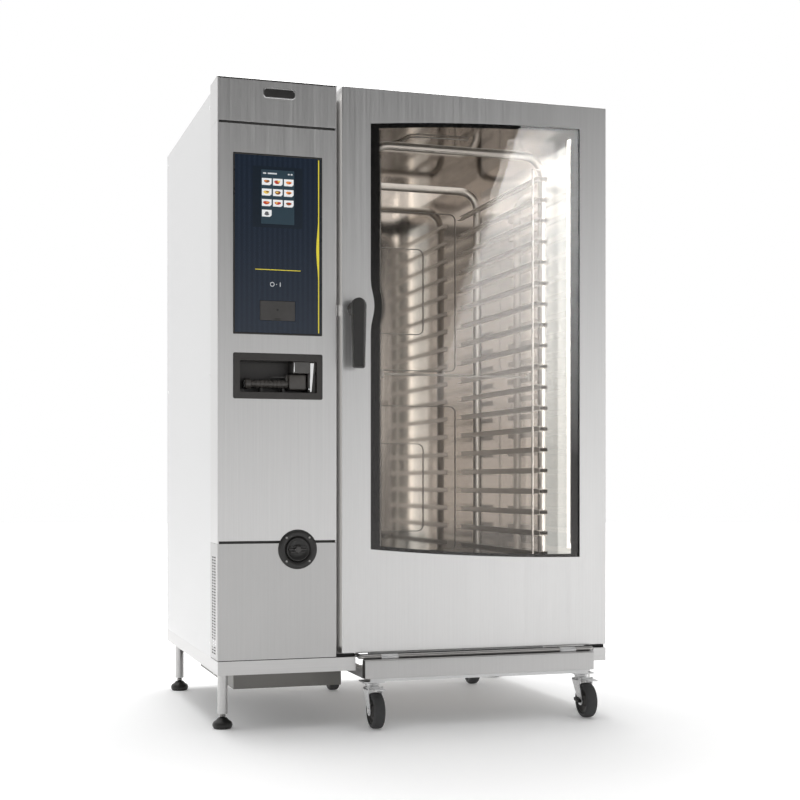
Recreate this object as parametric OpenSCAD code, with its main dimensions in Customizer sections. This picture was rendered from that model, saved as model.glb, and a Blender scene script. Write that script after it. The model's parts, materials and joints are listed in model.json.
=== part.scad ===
// Floor-standing combi steamer oven with a roll-in rack trolley.
// X runs across the front, -Y is the front, Z is up from the floor.
// Modules use the cabinet's own corner: x from its left side, y back from its front face.

/* [Cabinet] */
// Width of the cabinet
body_w = 1162; // [1100:1:1220]
// Depth from the front face to the back panel
body_d = 942; // [900:1:1000]
// Height of the control column and of the door
body_h = 1794; // [1780:1:1810]
// Height of the roof panel
roof_z = 1774; // [1764:1:1776]
// Underside of the base frame
base_z = 157; // [155:1:165]
// Underside of the outer panels
shell_z = 195; // [190:1:200]
// Sheet thickness of the outer panels
sheet = 2; // [1.5:0.5:3]

/* [Control column] */
// Width of the control column
column_w = 336; // [330:1:345]
// Depth of the column's front shell
facade_d = 109; // [90:1:120]
// Height of the upper and lower shadow gaps
gap_upper_z = 1670; // [1640:1:1690]
gap_lower_z = 520; // [500:1:540]
// Height of each shadow gap
gap_h = 7; // [4:1:10]

/* [Door] */
// Left edge of the door
door_x = 351; // [345:1:360]
// Bottom edge of the door
door_z = 205; // [205:1:215]
// Thickness of the door
door_t = 74; // [60:1:74]
// Distance of the hinge pin from the door's right edge
pin_inset = 27; // [22:1:30]
// Depth of the hinge pin behind the front face
pin_y = 38; // [34:1:40]

/* [Trolley] */
// Middle of the trolley base
trolley_x = 755; // [750:1:760]
// Middle of the tray rack
rack_x = 745; // [740:1:750]
// Distance between the rack posts
rack_w = 550; // [540:1:560]
// Number of tray levels
levels = 20; // [1:1:20]
// Height from one tray level to the next
level_pitch = 63; // [60:1:64]
// Height of the lowest runner
level_z = 405; // [300:1:410]
// Diameter of the castor wheels
wheel_d = 100; // [90:1:100]

/* [Hidden] */
$fn = 64;

steel = [0.78, 0.78, 0.77];
pale_steel = [0.88, 0.88, 0.88];
dark_steel = [0.30, 0.29, 0.28];
black = [0.07, 0.07, 0.07];

// Whole depth and where its middle lies
wheel_r = wheel_d / 2;
swivel_y = -15;
trail = 35;
front_y = swivel_y - trail - wheel_r;
back_y = front_y + 1066;
mid_y = (front_y + back_y) / 2;

// Running clearance of a shaft in its hole, and the rest of the small fits
run = 0.05;
skin_in = 1;

// Cavity
cav_x = [380, 1096];
cav_y = [88, 902];
cav_z = [198, 1740];
sill_y = 152;
frame_y = 86;
jamb_x = column_w + 2;
door_r = body_w;
pin_x = door_r - pin_inset;
pin_r = 6;

// Window in the door
win_x = [435, 1077];
win_z = [465, 1726];
win_r = 6660;
win_bump_r = 148;
win_bump_h = 11;

// Handle
grip_x = 386;
grip_z = 1170;
spindle_r = 8;
latch_y = 50;

// Fans
fan_y = 495;
fan_z = [640, 1310];
fan_r = 165;
shaft_r = 10;
baffle_x = 438;

// Touch panel, spray recess and drain plug
touch_x = [43, 294];
touch_z = [1091, 1588];
usb_x = [118, 216];
usb_z = [1131, 1184];
recess_x = [43, 295];
recess_z = [914, 1040];
bay_x = [62, 279];
bay_z = [933, 1020];
bay_d = 70;
plug = [224, 499];
plug_r = 33;

// Feet
leg_inset = 29;
leg_y = [82, 855];
leg_x = [leg_inset, body_w - leg_inset];

// Trolley
rail_z = [128, 152];
rail_x = 320;
rack_y = [150, 711];
tube_r = 12.5;
hoop_z = 1672;
hoop_bend = 62;
deck_z = [222, 246];
riser_y = [138, 150];
guide_z = [388, 1632];
axle_r = 5;
fork_gap = 18;
rear_wheel_y = 705;
rear_x = 245;
wheel_w = 32;

module place() translate([-body_w / 2, -mid_y, 0]) children();
module box(x, y, z) translate([x[0], y[0], z[0]]) cube([x[1] - x[0], y[1] - y[0], z[1] - z[0]]);
module rod_x(x, y, z, r) translate([x[0], y, z]) rotate([0, 90, 0]) cylinder(r = r, h = x[1] - x[0]);
module rod_y(x, y, z, r) translate([x, y[0], z]) rotate([-90, 0, 0]) cylinder(r = r, h = y[1] - y[0]);
module rod_z(x, y, z, r) translate([x, y, z[0]]) cylinder(r = r, h = z[1] - z[0]);
// Stands a flat outline drawn in x and z upright, from y[0] back to y[1]
module upright(y) translate([0, y[1], 0]) rotate([90, 0, 0]) linear_extrude(y[1] - y[0]) children();
function mirror_x(c, dx) = [c - dx, c + dx];

// ---- Base, legs and drain ----
module base_frame() color(steel) place() difference() {
  box([skin_in, body_w - skin_in], [0, body_d], [base_z, shell_z]);
  box([42, 1122], [40, body_d - 40], [base_z - 1, shell_z + 1]);
  box([391, 1122], [-1, 41], [base_z - 1, shell_z + 1]);
}
module leg_tubes() color(steel) place() for (x = leg_x, y = leg_y) {
  rod_z(x, y, [41, base_z - 4], 14);
  rod_z(x, y, [base_z - 4, base_z], 26);
}
module leveling_feet() color(black) place() for (x = leg_x, y = leg_y) {
  rod_z(x, y, [0, 9], 28);
  rod_z(x, y, [9, 20], 24);
  rod_z(x, y, [20, 33], 13);
  rod_z(x, y, [33, 41], 6);
}
module drain_box() color(dark_steel) place() difference() {
  box([73, 389], [150, 700], [97, base_z]);
  box([75, 387], [152, 698], [99, base_z + 1]);
  rod_y(230, [690, 710], 124, 19);
}
module drain_outlet() color(dark_steel) place() difference() {
  union() {
    rod_y(230, [700, body_d + 2], 124, 22);
    rod_y(230, [body_d + 2, back_y], 124, 25);
  }
  rod_y(230, [699, back_y + 1], 124, 19);
}

// ---- Outer panels ----
module left_side_panel() color(pale_steel) place()
  box([skin_in, skin_in + sheet], [facade_d + 1, body_d - sheet], [shell_z, roof_z - 3]);
module right_side_panel() color(pale_steel) place()
  box([body_w - skin_in - sheet, body_w - skin_in], [facade_d + 1, body_d - sheet], [shell_z, roof_z - 3]);
module roof_panel() color(pale_steel) place() difference() {
  box([skin_in, body_w - skin_in], [facade_d, body_d], [roof_z - 3, roof_z]);
  rod_z(470, 850, [roof_z - 10, roof_z + 10], 30);
}
module back_panel() color(pale_steel) place() difference() {
  box([skin_in, body_w - skin_in], [body_d - sheet, body_d], [shell_z, roof_z - 3]);
  rod_y(60, [body_d - 9, body_d + 1], 420, 18 + run);
  for (x = [110, 170]) rod_y(x, [body_d - 9, body_d + 1], 270, 12 + run);
  for (i = [0:11]) box([70, 290], [body_d - 9, body_d + 1], [1300 + i * 22, 1308 + i * 22]);
}
module panel_screws() color(steel) place() {
  for (y = [facade_d + 18, body_d - 22], z = [235, 985, 1735]) rod_x([0, skin_in], y, z, 5);
  for (x = [40, 580, 1120], z = [235, 985, 1735]) rod_y(x, [body_d, body_d + 1.5], z, 5);
}

// One front panel of the column, folded back at both sides
module folded_front(z) difference() {
  box([0, column_w], [0, facade_d], z);
  box([sheet, column_w - sheet], [sheet, facade_d + 1], [z[0] - 1, z[1] + 1]);
}
module top_fascia() color(steel) place() {
  z0 = gap_upper_z + gap_h / 2;
  folded_front([z0, body_h]);
  box([sheet, column_w - sheet], [sheet, facade_d], [body_h - sheet, body_h]);
  box([sheet, column_w - sheet], [facade_d - sheet, facade_d], [roof_z, body_h - sheet]);
}
module control_fascia() color(steel) place() difference() {
  folded_front([gap_lower_z + gap_h / 2, gap_upper_z - gap_h / 2]);
  box([touch_x[0] + 2, touch_x[1] - 2], [-1, sheet + 1], [touch_z[0] + 2, touch_z[1] - 2]);
  box([bay_x[0] - 3, bay_x[1] + 3], [-1, sheet + 1], [bay_z[0] - 3, bay_z[1] + 3]);
  rod_y(plug[0], [-1, sheet + 1], plug[1], plug_r + 3);
}
module service_panel() color(steel) place() difference() {
  folded_front([shell_z, gap_lower_z - gap_h / 2]);
  rod_y(plug[0], [-1, sheet + 1], plug[1], plug_r + 3);
  for (i = [0:22], j = [0, 1]) {
    y = 32 + j * 30;
    box([-1, sheet + 1], [y, y + 24], [212 + i * 12, 216 + i * 12]);
  }
}
module facade_frame() color(black) place() difference() {
  box([5, column_w - 5], [8, 12], [shell_z, gap_upper_z + 20]);
  box([25, column_w - 25], [7, 13], [gap_lower_z + 20, gap_upper_z - 15]);
  box([25, column_w - 25], [7, 13], [shell_z + 20, gap_lower_z - 70]);
  rod_y(plug[0], [7, 13], plug[1], plug_r + 3);
}

// ---- Touch panel and its USB port ----
module touch_frame() color(black) place() difference() {
  union() {
    box(touch_x, [-2, 0], touch_z);
    box([touch_x[0] + 2.5, touch_x[1] - 2.5], [0, 7.5], [touch_z[0] + 2.5, touch_z[1] - 2.5]);
  }
  box([touch_x[0] + 5, touch_x[1] - 5], [-3, 8], [touch_z[0] + 5, touch_z[1] - 5]);
}
module touch_glass() color([0.15, 0.2, 0.27]) place() difference() {
  box([touch_x[0] + 5, touch_x[1] - 5], [-1.8, 3], [touch_z[0] + 5, touch_z[1] - 5]);
  box([usb_x[0] - 1, usb_x[1] + 1], [-3, 4], [usb_z[0] - 1, usb_z[1] + 1]);
}
module usb_socket() color(dark_steel) place() difference() {
  union() {
    box([usb_x[0] - 1, usb_x[1] + 1], [2, 3], [usb_z[0] - 1, usb_z[1] + 1]);
    box([159, 175], [3, 22], [1152, 1163]);
  }
  box([161, 173], [1, 18], [1155, 1160]);
}
module usb_cover() color([0.2, 0.18, 0.17]) place() {
  box(usb_x, [-2.5, 0.5], usb_z);
  rod_x([usb_x[0] + 8, usb_x[1] - 8], -2.5, usb_z[0] + 2, 1.6);
}

// ---- Spray gun bay ----
module spray_recess() color(black) place() {
  difference() {
    union() {
      box(recess_x, [-2, 0], recess_z);
      box([bay_x[0] - 2, bay_x[1] + 2], [0, bay_d + 2], [bay_z[0] - 2, bay_z[1] + 2]);
    }
    box(bay_x, [-3, bay_d], bay_z);
  }
  box([214, bay_x[1]], [12, bay_d], [988, bay_z[1]]);
  box([257, bay_x[1]], [12, bay_d], [bay_z[0], 988]);
  box([bay_x[0], 78], [20, bay_d], [bay_z[0], 941]);
  for (x = [124, 186]) box([x, x + 6], [24, 54], [bay_z[0], 945.5]);
}
module spray_gun() color(black) place() difference() {
  union() {
    rod_x([82, 100], 39, 958, 15);
    rod_x([100, 112], 39, 958, 10);
    rod_x([112, 206], 39, 958, 12);
    box([206, 254], [20, 58], [941, 985]);
    for (y = [[30, 35.8], [42.2, 48]]) box([197, 206], y, [966, 983]);
  }
  rod_y(202, [29, 49], 977.5, 1.5 + run);
}
module spray_trigger() color(dark_steel) place() {
  box([150, 202], [36, 42], [976, 979]);
  rod_y(202, [36, 42], 977.5, 3);
  rod_y(202, [31, 47], 977.5, 1.5);
}
module hose_reel() color(dark_steel) place() {
  rod_x([120, 128], 260, 780, 110);
  rod_x([128, 182], 260, 780, 60);
  rod_x([182, 190], 260, 780, 110);
}

// ---- Drain plug, electronics and boiler ----
module plug_flange() color(black) place() difference() {
  union() {
    rod_y(plug[0], [-6, 0], plug[1], 55);
    rod_y(plug[0], [0, 40], plug[1], plug_r + 2.8);
    for (a = [45:90:315]) rod_y(plug[0] + 46 * cos(a), [-8, -6], plug[1] + 46 * sin(a), 4);
  }
  rod_y(plug[0], [-9, 41], plug[1], plug_r);
}
module plug_cap() color(black) place() {
  rod_y(plug[0], [-7, 30], plug[1], plug_r - run);
  rod_y(plug[0], [-13, -7], plug[1], 14);
  box([plug[0] - 28, plug[0] + 28], [-13, -7], [plug[1] - 4, plug[1] + 4]);
}
module electronics_box() color(steel) place() difference() {
  box([30, 306], [140, 420], [1120, 1640]);
  box([32, 304], [142, 418], [1122, 1638]);
}
module boiler() color(pale_steel) place() difference() {
  union() {
    rod_z(160, 700, [230, 800], 110);
    rod_z(160, 700, [shell_z, 230], 60);
    rod_z(160, 700, [800, 820], 60);
  }
  rod_z(160, 700, [233, 797], 107);
}

// ---- Cavity ----
module cavity_liner() color(steel) place() difference() {
  box(cav_x, cav_y, cav_z);
  box([cav_x[0] + 2, cav_x[1] - 2], [cav_y[0] - 1, cav_y[1] - 2], [cav_z[0] + 2, cav_z[1] - 2]);
  box([cav_x[0] + 2, cav_x[1] - 2], [cav_y[0] - 1, sill_y], [cav_z[0] - 1, cav_z[0] + 3]);
  rod_z(470, 850, [cav_z[1] - 9, cav_z[1] + 1], 27);
  for (z = fan_z) rod_x([cav_x[0] - 1, cav_x[0] + 3], fan_y, z, 14);
}
module cavity_front_frame() color(steel) place() {
  difference() {
    box([jamb_x, body_w - skin_in], [frame_y, cav_y[0]], [shell_z, roof_z]);
    box([cav_x[0] + 2, cav_x[1] - 2], [frame_y - 1, cav_y[0] + 1], [shell_z - 1, cav_z[1] - 2]);
  }
  box([jamb_x, body_w - skin_in], [cav_y[0], facade_d], [cav_z[1] + 28, roof_z]);
  box([jamb_x, jamb_x + 2], [cav_y[0], facade_d + 40], [shell_z, cav_z[1] + 28]);
  box([body_w - skin_in - 2, body_w - skin_in], [cav_y[0], facade_d], [shell_z, cav_z[1] + 28]);
}
module door_gasket() color(black) place() difference() {
  box([cav_x[0] - 9, cav_x[1] + 9], [door_t + 0.4, frame_y], [shell_z + 14, cav_z[1] + 9]);
  box([cav_x[0] + 1, cav_x[1] - 1], [door_t, frame_y + 1], [shell_z, cav_z[1] - 1]);
}
module insulation() color([0.85, 0.8, 0.55]) place() difference() {
  box([cav_x[0] - 24, cav_x[1] + 30], [cav_y[0] + 2, cav_y[1] + 30], [cav_z[0], cav_z[1] + 26]);
  box(cav_x, [cav_y[0], cav_y[1]], [cav_z[0] - 1, cav_z[1]]);
  rod_z(470, 850, [cav_z[1] - 9, cav_z[1] + 30], 30);
  for (z = fan_z) rod_x([cav_x[0] - 30, cav_x[0] + 1], fan_y, z, 26);
}
module fan_baffle() color(steel) place() difference() {
  box([cav_x[0] + 2, baffle_x + 2], [120, 870], [250, 1700]);
  box([cav_x[0], baffle_x], [122, 868], [249, 1701]);
  for (z = fan_z) rod_x([baffle_x - 1, baffle_x + 3], fan_y, z, 120);
}
module fan_motors() color(dark_steel) place() for (z = fan_z) difference() {
  union() {
    rod_x([235, 352], fan_y, z, 65);
    rod_x([352, cav_x[0]], fan_y, z, 25);
  }
  rod_x([330, cav_x[0] + 1], fan_y, z, shaft_r + run);
}
module heating_elements() color(steel) place() for (z = fan_z) {
  for (x = [400, 418]) translate([x, fan_y, z]) rotate([0, 90, 0])
    rotate_extrude($fn = 48) translate([190, 0]) circle(r = 4.5, $fn = 16);
  for (a = [-6, 6]) rod_x([cav_x[0] + 2, 418], fan_y + 190 * cos(a), z + 190 * sin(a), 4);
}
module fan_wheel(z) {
  rod_x([335, 398], fan_y, z, shaft_r);
  rod_x([398, 401], fan_y, z, fan_r);
  rod_x([401, 430], fan_y, z, 26);
  difference() {
    rod_x([427, 430], fan_y, z, fan_r);
    rod_x([426, 431], fan_y, z, 115);
  }
  for (a = [0:30:330]) translate([401, fan_y, z]) rotate([a, 0, 0])
    translate([0, 112, -1.5]) cube([27, 50, 3]);
}
module fan_upper() color(steel) place() fan_wheel(fan_z[1]);
module fan_lower() color(steel) place() fan_wheel(fan_z[0]);

// ---- Services ----
module water_inlets() color([0.75, 0.6, 0.3]) place() for (x = [110, 170]) difference() {
  union() {
    rod_y(x, [body_d - sheet, body_d], 270, 12);
    rod_y(x, [body_d, back_y], 270, 13.2);
  }
  rod_y(x, [body_d - 9, back_y + 1], 270, 9);
}
module cable_gland() color(black) place() difference() {
  rod_y(60, [body_d - sheet, back_y - 2], 420, 18);
  rod_y(60, [body_d - 9, back_y], 420, 12);
}
module exhaust_flue() color(steel) place() difference() {
  union() {
    rod_z(470, 850, [cav_z[1], roof_z], 29.5);
    rod_z(470, 850, [roof_z, body_h - 2], 30);
  }
  rod_z(470, 850, [cav_z[1] - 1, body_h], 27);
}
module door_strike() color(steel) place() {
  box([jamb_x + 1, jamb_x + 3], [latch_y - 7, frame_y], [grip_z - 15, grip_z + 15]);
  box([jamb_x + 3, jamb_x + 11], [latch_y - 7, latch_y - 2], [grip_z - 15, grip_z + 15]);
}
module hinge_brackets() color(steel) place() {
  box([1124, 1160], [24, 105], [body_h + 0.5, body_h + 3.5]);
  box([1124, 1160], [97, 105], [roof_z, body_h + 0.5]);
  rod_z(pin_x, pin_y, [body_h - 10, body_h + 0.5], pin_r);
  box([1124, 1160], [24, frame_y], [shell_z, door_z - 0.5]);
  rod_z(pin_x, pin_y, [door_z - 0.5, door_z + 10], pin_r);
}

// ---- Door ----
// Outline of the window: flat sides, long shallow arcs at top and bottom, a bulge beside the handle
module window(grow) difference() {
  intersection() {
    translate([win_x[0] - grow, win_z[0] - grow])
      square([win_x[1] - win_x[0] + 2 * grow, win_z[1] - win_z[0] + 2 * grow]);
    translate([win_x[1], win_z[1] - win_r]) circle(r = win_r + grow, $fn = 720);
    translate([win_x[1], win_z[0] + win_r]) circle(r = win_r + grow, $fn = 720);
  }
  translate([win_x[0] + win_bump_h - win_bump_r - grow, grip_z + 12]) circle(r = win_bump_r);
}
module door_skin() color(steel) place() difference() {
  box([door_x, door_r], [0, door_t - 16], [door_z, body_h]);
  box([door_x + sheet, door_r - sheet], [sheet, door_t], [door_z + sheet, body_h - sheet]);
  upright([-1, sheet + 1]) window(0);
  for (z = [door_z - 1, body_h - sheet - 1]) rod_z(pin_x, pin_y, [z, z + sheet + 2], pin_r + run);
  rod_y(grip_x, [-1, sheet + 1], grip_z, spindle_r + run);
  box([door_x - 1, door_x + sheet + 1], [latch_y - 2, latch_y + 7], [grip_z - 40, grip_z + 12]);
}
module door_liner() color(steel) place() difference() {
  box([door_x + 2, door_r - 2], [door_t - 16, door_t], [door_z + 2, body_h - 2]);
  box([win_x[0] - 8, win_x[1] + 8], [door_t - 17, door_t + 1], [win_z[0] - 8, win_z[1] + 8]);
}
module door_glass() color([0.6, 0.65, 0.65, 0.4]) place() {
  box([win_x[0] - 14, win_x[1] + 14], [sheet, sheet + 5], [win_z[0] - 14, win_z[1] + 14]);
  box([win_x[0] - 8, win_x[1] + 8], [door_t - 8, door_t - 3], [win_z[0] - 8, win_z[1] + 8]);
}
module door_handle() color(black) place() {
  upright([-66, -42]) {
    translate([grip_x, grip_z + 5]) circle(r = 21.5);
    translate([grip_x, 1018.5]) circle(r = 17.5);
    polygon([[grip_x - 21.5, grip_z + 5], [grip_x + 21.5, grip_z + 5],
             [grip_x + 17.5, 1018.5], [grip_x - 17.5, 1018.5]]);
  }
  rod_y(grip_x, [-42, -0.5], grip_z, 20);
}
module latch_cam() color(steel) place() {
  rod_y(grip_x, [-0.5, latch_y], grip_z, spindle_r);
  rod_y(grip_x, [latch_y, latch_y + 5], grip_z, 14);
  box([jamb_x + 5, grip_x], [latch_y, latch_y + 5], [grip_z - 7, grip_z + 7]);
}

// ---- Trolley ----
module trolley_base() color(steel) place() {
  for (x = mirror_x(trolley_x, rail_x)) box([x - 12, x + 12], [-38, 740], rail_z);
  for (y = [-38, 126]) box(mirror_x(trolley_x, rail_x), [y, y + 24], rail_z);
  rear_beam();
  for (x = mirror_x(trolley_x, rail_x)) difference() {
    box([x - 30, x + 30], [swivel_y - 23, swivel_y + 33], [rail_z[0] - 4, rail_z[0]]);
    rod_z(x, swivel_y, [rail_z[0] - 5, rail_z[0] + 1], 6 + run);
  }
  box([rack_x - rack_w / 2, rack_x + rack_w / 2], riser_y, [rail_z[1], deck_z[0]]);
}
module trolley_panel() color(steel) place() {
  w = 348;
  box(mirror_x(trolley_x, w), [-42, -40], [137, 184]);
  box(mirror_x(trolley_x, w), [-42, -10], [182, 184]);
  for (s = [-1, 1]) box([trolley_x + s * (w - 1) - 1, trolley_x + s * (w - 1) + 1], [-40, 60], [137, 184]);
}
module trolley_bar() color(steel) place() {
  y = -22;
  z = 194;
  bend = 16;
  half = 354;
  rod_x(mirror_x(trolley_x, half - bend), y, z, 6);
  for (s = [-1, 1]) {
    translate([trolley_x + s * (half - bend), y + bend, z]) rotate([0, 0, s > 0 ? -90 : 180])
      rotate_extrude(angle = 90) translate([bend, 0]) circle(r = 6, $fn = 32);
    rod_y(trolley_x + s * half, [y + bend, 28], z, 6);
    box([trolley_x + s * (half - 3) - 4, trolley_x + s * (half - 3) + 4], [14, 28], [184, 192]);
    rod_x(mirror_x(trolley_x + s * 272, 25), y, z, 9);
    box(mirror_x(trolley_x + s * 272, 25), [y - 5, y + 5], [184, 190]);
  }
}
// Draws in y and z, thickened along x from x[0] to x[1]
module side_on(x) translate([x[0], 0, 0]) rotate([90, 0, 90]) linear_extrude(x[1] - x[0]) children();
// Two cheeks and an axle; the wheel hangs at y = away, the cheeks reach up to z = top
module cheeks(away, top) {
  for (x = [[-fork_gap - 3, -fork_gap], [fork_gap, fork_gap + 3]]) side_on(x) {
    translate([away, wheel_r]) circle(r = 14);
    polygon([[away - 14, wheel_r], [away + 14, wheel_r], [22, top], [-28, top]]);
  }
  rod_x([-fork_gap - 6, fork_gap + 6], away, wheel_r, axle_r);
}
module front_fork(x) place() translate([x, swivel_y, 0]) difference() {
  union() {
    cheeks(-trail, 110);
    box([-fork_gap - 3, fork_gap + 3], [-28, 22], [106, 110]);
    rod_z(0, 0, [110, rail_z[0] - 4.5], 20);
    rod_z(0, 0, [rail_z[0] - 5, rail_z[0] - 0.1], 6);
    for (x = [[-fork_gap - 3, -fork_gap], [fork_gap, fork_gap + 3]]) box(x, [-37, -27], [100, 116]);
  }
  rod_x([-30, 30], -32, 112, 2 + run);
}
module brake_pedal(x) place() translate([x, swivel_y, 0]) {
  rod_x([-fork_gap + 1, fork_gap - 1], -32, 112, 3.4);
  rod_x([-fork_gap - 2, fork_gap + 2], -32, 112, 2);
  box([-fork_gap + 1, fork_gap - 1], [-83, -32], [110.5, 113]);
}
module wheel(x, y) place() translate([x, y, wheel_r]) difference() {
  union() {
    rod_x([-wheel_w / 2 + 2, wheel_w / 2 - 2], 0, 0, wheel_r);
    rod_x([-wheel_w / 2, wheel_w / 2], 0, 0, wheel_r - 3);
  }
  rod_x([-wheel_w, wheel_w], 0, 0, axle_r + run);
}
module rear_forks() color(steel) place() for (x = mirror_x(trolley_x, rear_x))
  translate([x, rear_wheel_y, 0]) {
    cheeks(0, 124);
    box([-30, 30], [-28, 30], [124, rail_z[0]]);
  }
module rear_beam() box(mirror_x(trolley_x, rail_x), [rear_wheel_y - 28, rear_wheel_y + 30], rail_z);
module fork_left() color(pale_steel) front_fork(trolley_x - rail_x);
module fork_right() color(pale_steel) front_fork(trolley_x + rail_x);
module pedal_left() color(pale_steel) brake_pedal(trolley_x - rail_x);
module pedal_right() color(pale_steel) brake_pedal(trolley_x + rail_x);
module wheel_front_left() color(black) wheel(trolley_x - rail_x, swivel_y - trail);
module wheel_front_right() color(black) wheel(trolley_x + rail_x, swivel_y - trail);
module wheel_rear_left() color(black) wheel(trolley_x - rear_x, rear_wheel_y);
module wheel_rear_right() color(black) wheel(trolley_x + rear_x, rear_wheel_y);

// ---- Rack ----
module hoop(y) {
  half = rack_w / 2;
  for (s = [-1, 1]) {
    rod_z(rack_x + s * half, y, [deck_z[1], hoop_z - hoop_bend], tube_r);
    translate([rack_x + s * (half - hoop_bend), y, hoop_z - hoop_bend]) rotate([90, 0, s > 0 ? 0 : 180])
      rotate_extrude(angle = 90) translate([hoop_bend, 0]) circle(r = tube_r);
  }
  rod_x(mirror_x(rack_x, half - hoop_bend), y, hoop_z, tube_r);
}
module rack_hoops() color(steel) place() {
  half = rack_w / 2;
  for (y = rack_y) hoop(y);
  for (x = mirror_x(rack_x, half)) box([x - 12, x + 12], [138, 822], deck_z);
  for (y = [138, 798]) box(mirror_x(rack_x, half), [y, y + 24], deck_z);
  for (x = mirror_x(rack_x, half - 34)) {
    rod_z(x, 141, [guide_z[0], guide_z[1]], 3);
    for (z = [guide_z[0], guide_z[1] - 3], s = [sign(x - rack_x)])
      box([min(x, x + s * 24), max(x, x + s * 24)], [139.5, 142.5], [z, z + 3]);
  }
  for (x = mirror_x(rack_x, half - 34)) box([x - 3, x + 3], [138, 165], [deck_z[0], 402]);
}
// One C-channel: a shelf, a web against the posts and a short top lip
module runner(s, z) {
  out = rack_w / 2 - tube_r - 0.2;
  translate([rack_x, 0, z]) mirror([s < 0 ? 1 : 0, 0, 0]) {
    box([out - 17, out], [134, 826], [0, 1.5]);
    box([out - 1.3, out], [134, 826], [0, 16]);
    box([out - 9, out], [134, 826], [14.5, 16]);
    box([out - 1.3, out + 25], [134, 137.2], [0, 16]);
  }
}
module runners() color(steel) place()
  for (s = [-1, 1], i = [0 : levels - 1]) runner(s, level_z - 8 + i * level_pitch);
module tray_stop() color(steel) place() {
  rod_x(mirror_x(rack_x, rack_w / 2 - 46), 151, 1002, 3);
  for (s = [-1, 1]) {
    x = rack_x + s * (rack_w / 2 - 39);
    box([x - 9, x + 9], [146.5, 154], [992, 1014]);
  }
}

base_frame();
leg_tubes();
leveling_feet();
drain_box();
drain_outlet();
left_side_panel();
right_side_panel();
roof_panel();
back_panel();
panel_screws();
top_fascia();
control_fascia();
service_panel();
facade_frame();
touch_frame();
touch_glass();
usb_socket();
usb_cover();
spray_recess();
spray_gun();
spray_trigger();
hose_reel();
plug_flange();
plug_cap();
electronics_box();
boiler();
cavity_liner();
cavity_front_frame();
door_gasket();
insulation();
fan_baffle();
fan_motors();
heating_elements();
fan_upper();
fan_lower();
water_inlets();
cable_gland();
exhaust_flue();
door_strike();
hinge_brackets();
door_skin();
door_liner();
door_glass();
door_handle();
latch_cam();
trolley_base();
trolley_panel();
trolley_bar();
rear_forks();
rack_hoops();
runners();
tray_stop();
fork_left();
fork_right();
pedal_left();
pedal_right();
wheel_front_left();
wheel_front_right();
wheel_rear_left();
wheel_rear_right();
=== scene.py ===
# %% [markdown]
# # A roll-in combi steamer oven
# The oven is a tall steel cabinet: a control column on the left, a glass door on the right, and a
# rack trolley that rolls in under the door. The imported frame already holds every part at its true
# place, so this lesson only dresses it: it makes finer surfaces where the light would show a
# machine-cut edge, and it gives every part its finish.

# %% Load the frame
import json
import math

import bmesh
import bpy
import numpy as np
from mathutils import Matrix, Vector


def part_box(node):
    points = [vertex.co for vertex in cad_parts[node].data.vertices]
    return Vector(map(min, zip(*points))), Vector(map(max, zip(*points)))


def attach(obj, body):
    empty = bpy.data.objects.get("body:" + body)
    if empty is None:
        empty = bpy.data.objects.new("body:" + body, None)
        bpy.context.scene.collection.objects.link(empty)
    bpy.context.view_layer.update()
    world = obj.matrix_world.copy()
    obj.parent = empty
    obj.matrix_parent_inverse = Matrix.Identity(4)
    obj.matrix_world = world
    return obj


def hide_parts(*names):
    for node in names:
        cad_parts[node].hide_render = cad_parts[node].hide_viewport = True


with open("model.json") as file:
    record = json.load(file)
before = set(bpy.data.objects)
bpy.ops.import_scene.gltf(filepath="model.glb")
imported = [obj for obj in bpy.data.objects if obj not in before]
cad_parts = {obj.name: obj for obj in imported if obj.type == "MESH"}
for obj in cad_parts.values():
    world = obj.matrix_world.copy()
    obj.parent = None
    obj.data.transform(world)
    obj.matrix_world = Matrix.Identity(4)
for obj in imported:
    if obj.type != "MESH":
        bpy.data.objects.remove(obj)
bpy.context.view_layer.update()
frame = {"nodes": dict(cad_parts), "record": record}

# %% [markdown]
# ## Measuring from the cabinet's corner
# A maker measures a cabinet from one corner. Here it is the lower left corner of the front face, at
# floor level, read from the control column's own box. `at` turns millimetres from that corner into
# metres in the frame, so the numbers below read like the ones on a drawing.

# %% The measuring corner
MM = 0.001
column_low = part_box("control_fascia")[0]
CORNER = np.array([column_low[0], column_low[1], 0.0])


def at(points):
    """Millimetres from the cabinet's front left floor corner -> metres: corner + points / 1000."""
    return CORNER + np.asarray(points, dtype=float) * MM


def span(node):
    """A node's box in millimetres from the corner, as two arrays: (box - corner) * 1000."""
    low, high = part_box(node)
    return (np.array(low) - CORNER) / MM, (np.array(high) - CORNER) / MM


print("column starts at", np.round(CORNER, 4))

# %% [markdown]
# ## From arrays to a mesh
# Every new shape below ends in the same two steps: numpy works out all the points at once, and one
# helper turns them into a mesh object that rides on a body and takes a finish.

# %% A helper that makes one piece


def piece(name, points, faces, body, slot, material, smooth=True, replaces=()):
    """Points in millimetres from the corner and faces as index tuples, made into an object."""
    mesh = bpy.data.meshes.new(name)
    mesh.from_pydata(at(points).tolist(), [], [list(map(int, f)) for f in faces])
    mesh.polygons.foreach_set("use_smooth", np.full(len(mesh.polygons), smooth))
    mesh.update()
    made = bpy.data.objects.new(name, mesh)
    bpy.context.scene.collection.objects.link(made)
    made.data.materials.append(material)
    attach(made, body)
    if replaces:
        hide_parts(*replaces)
    return made


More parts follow.
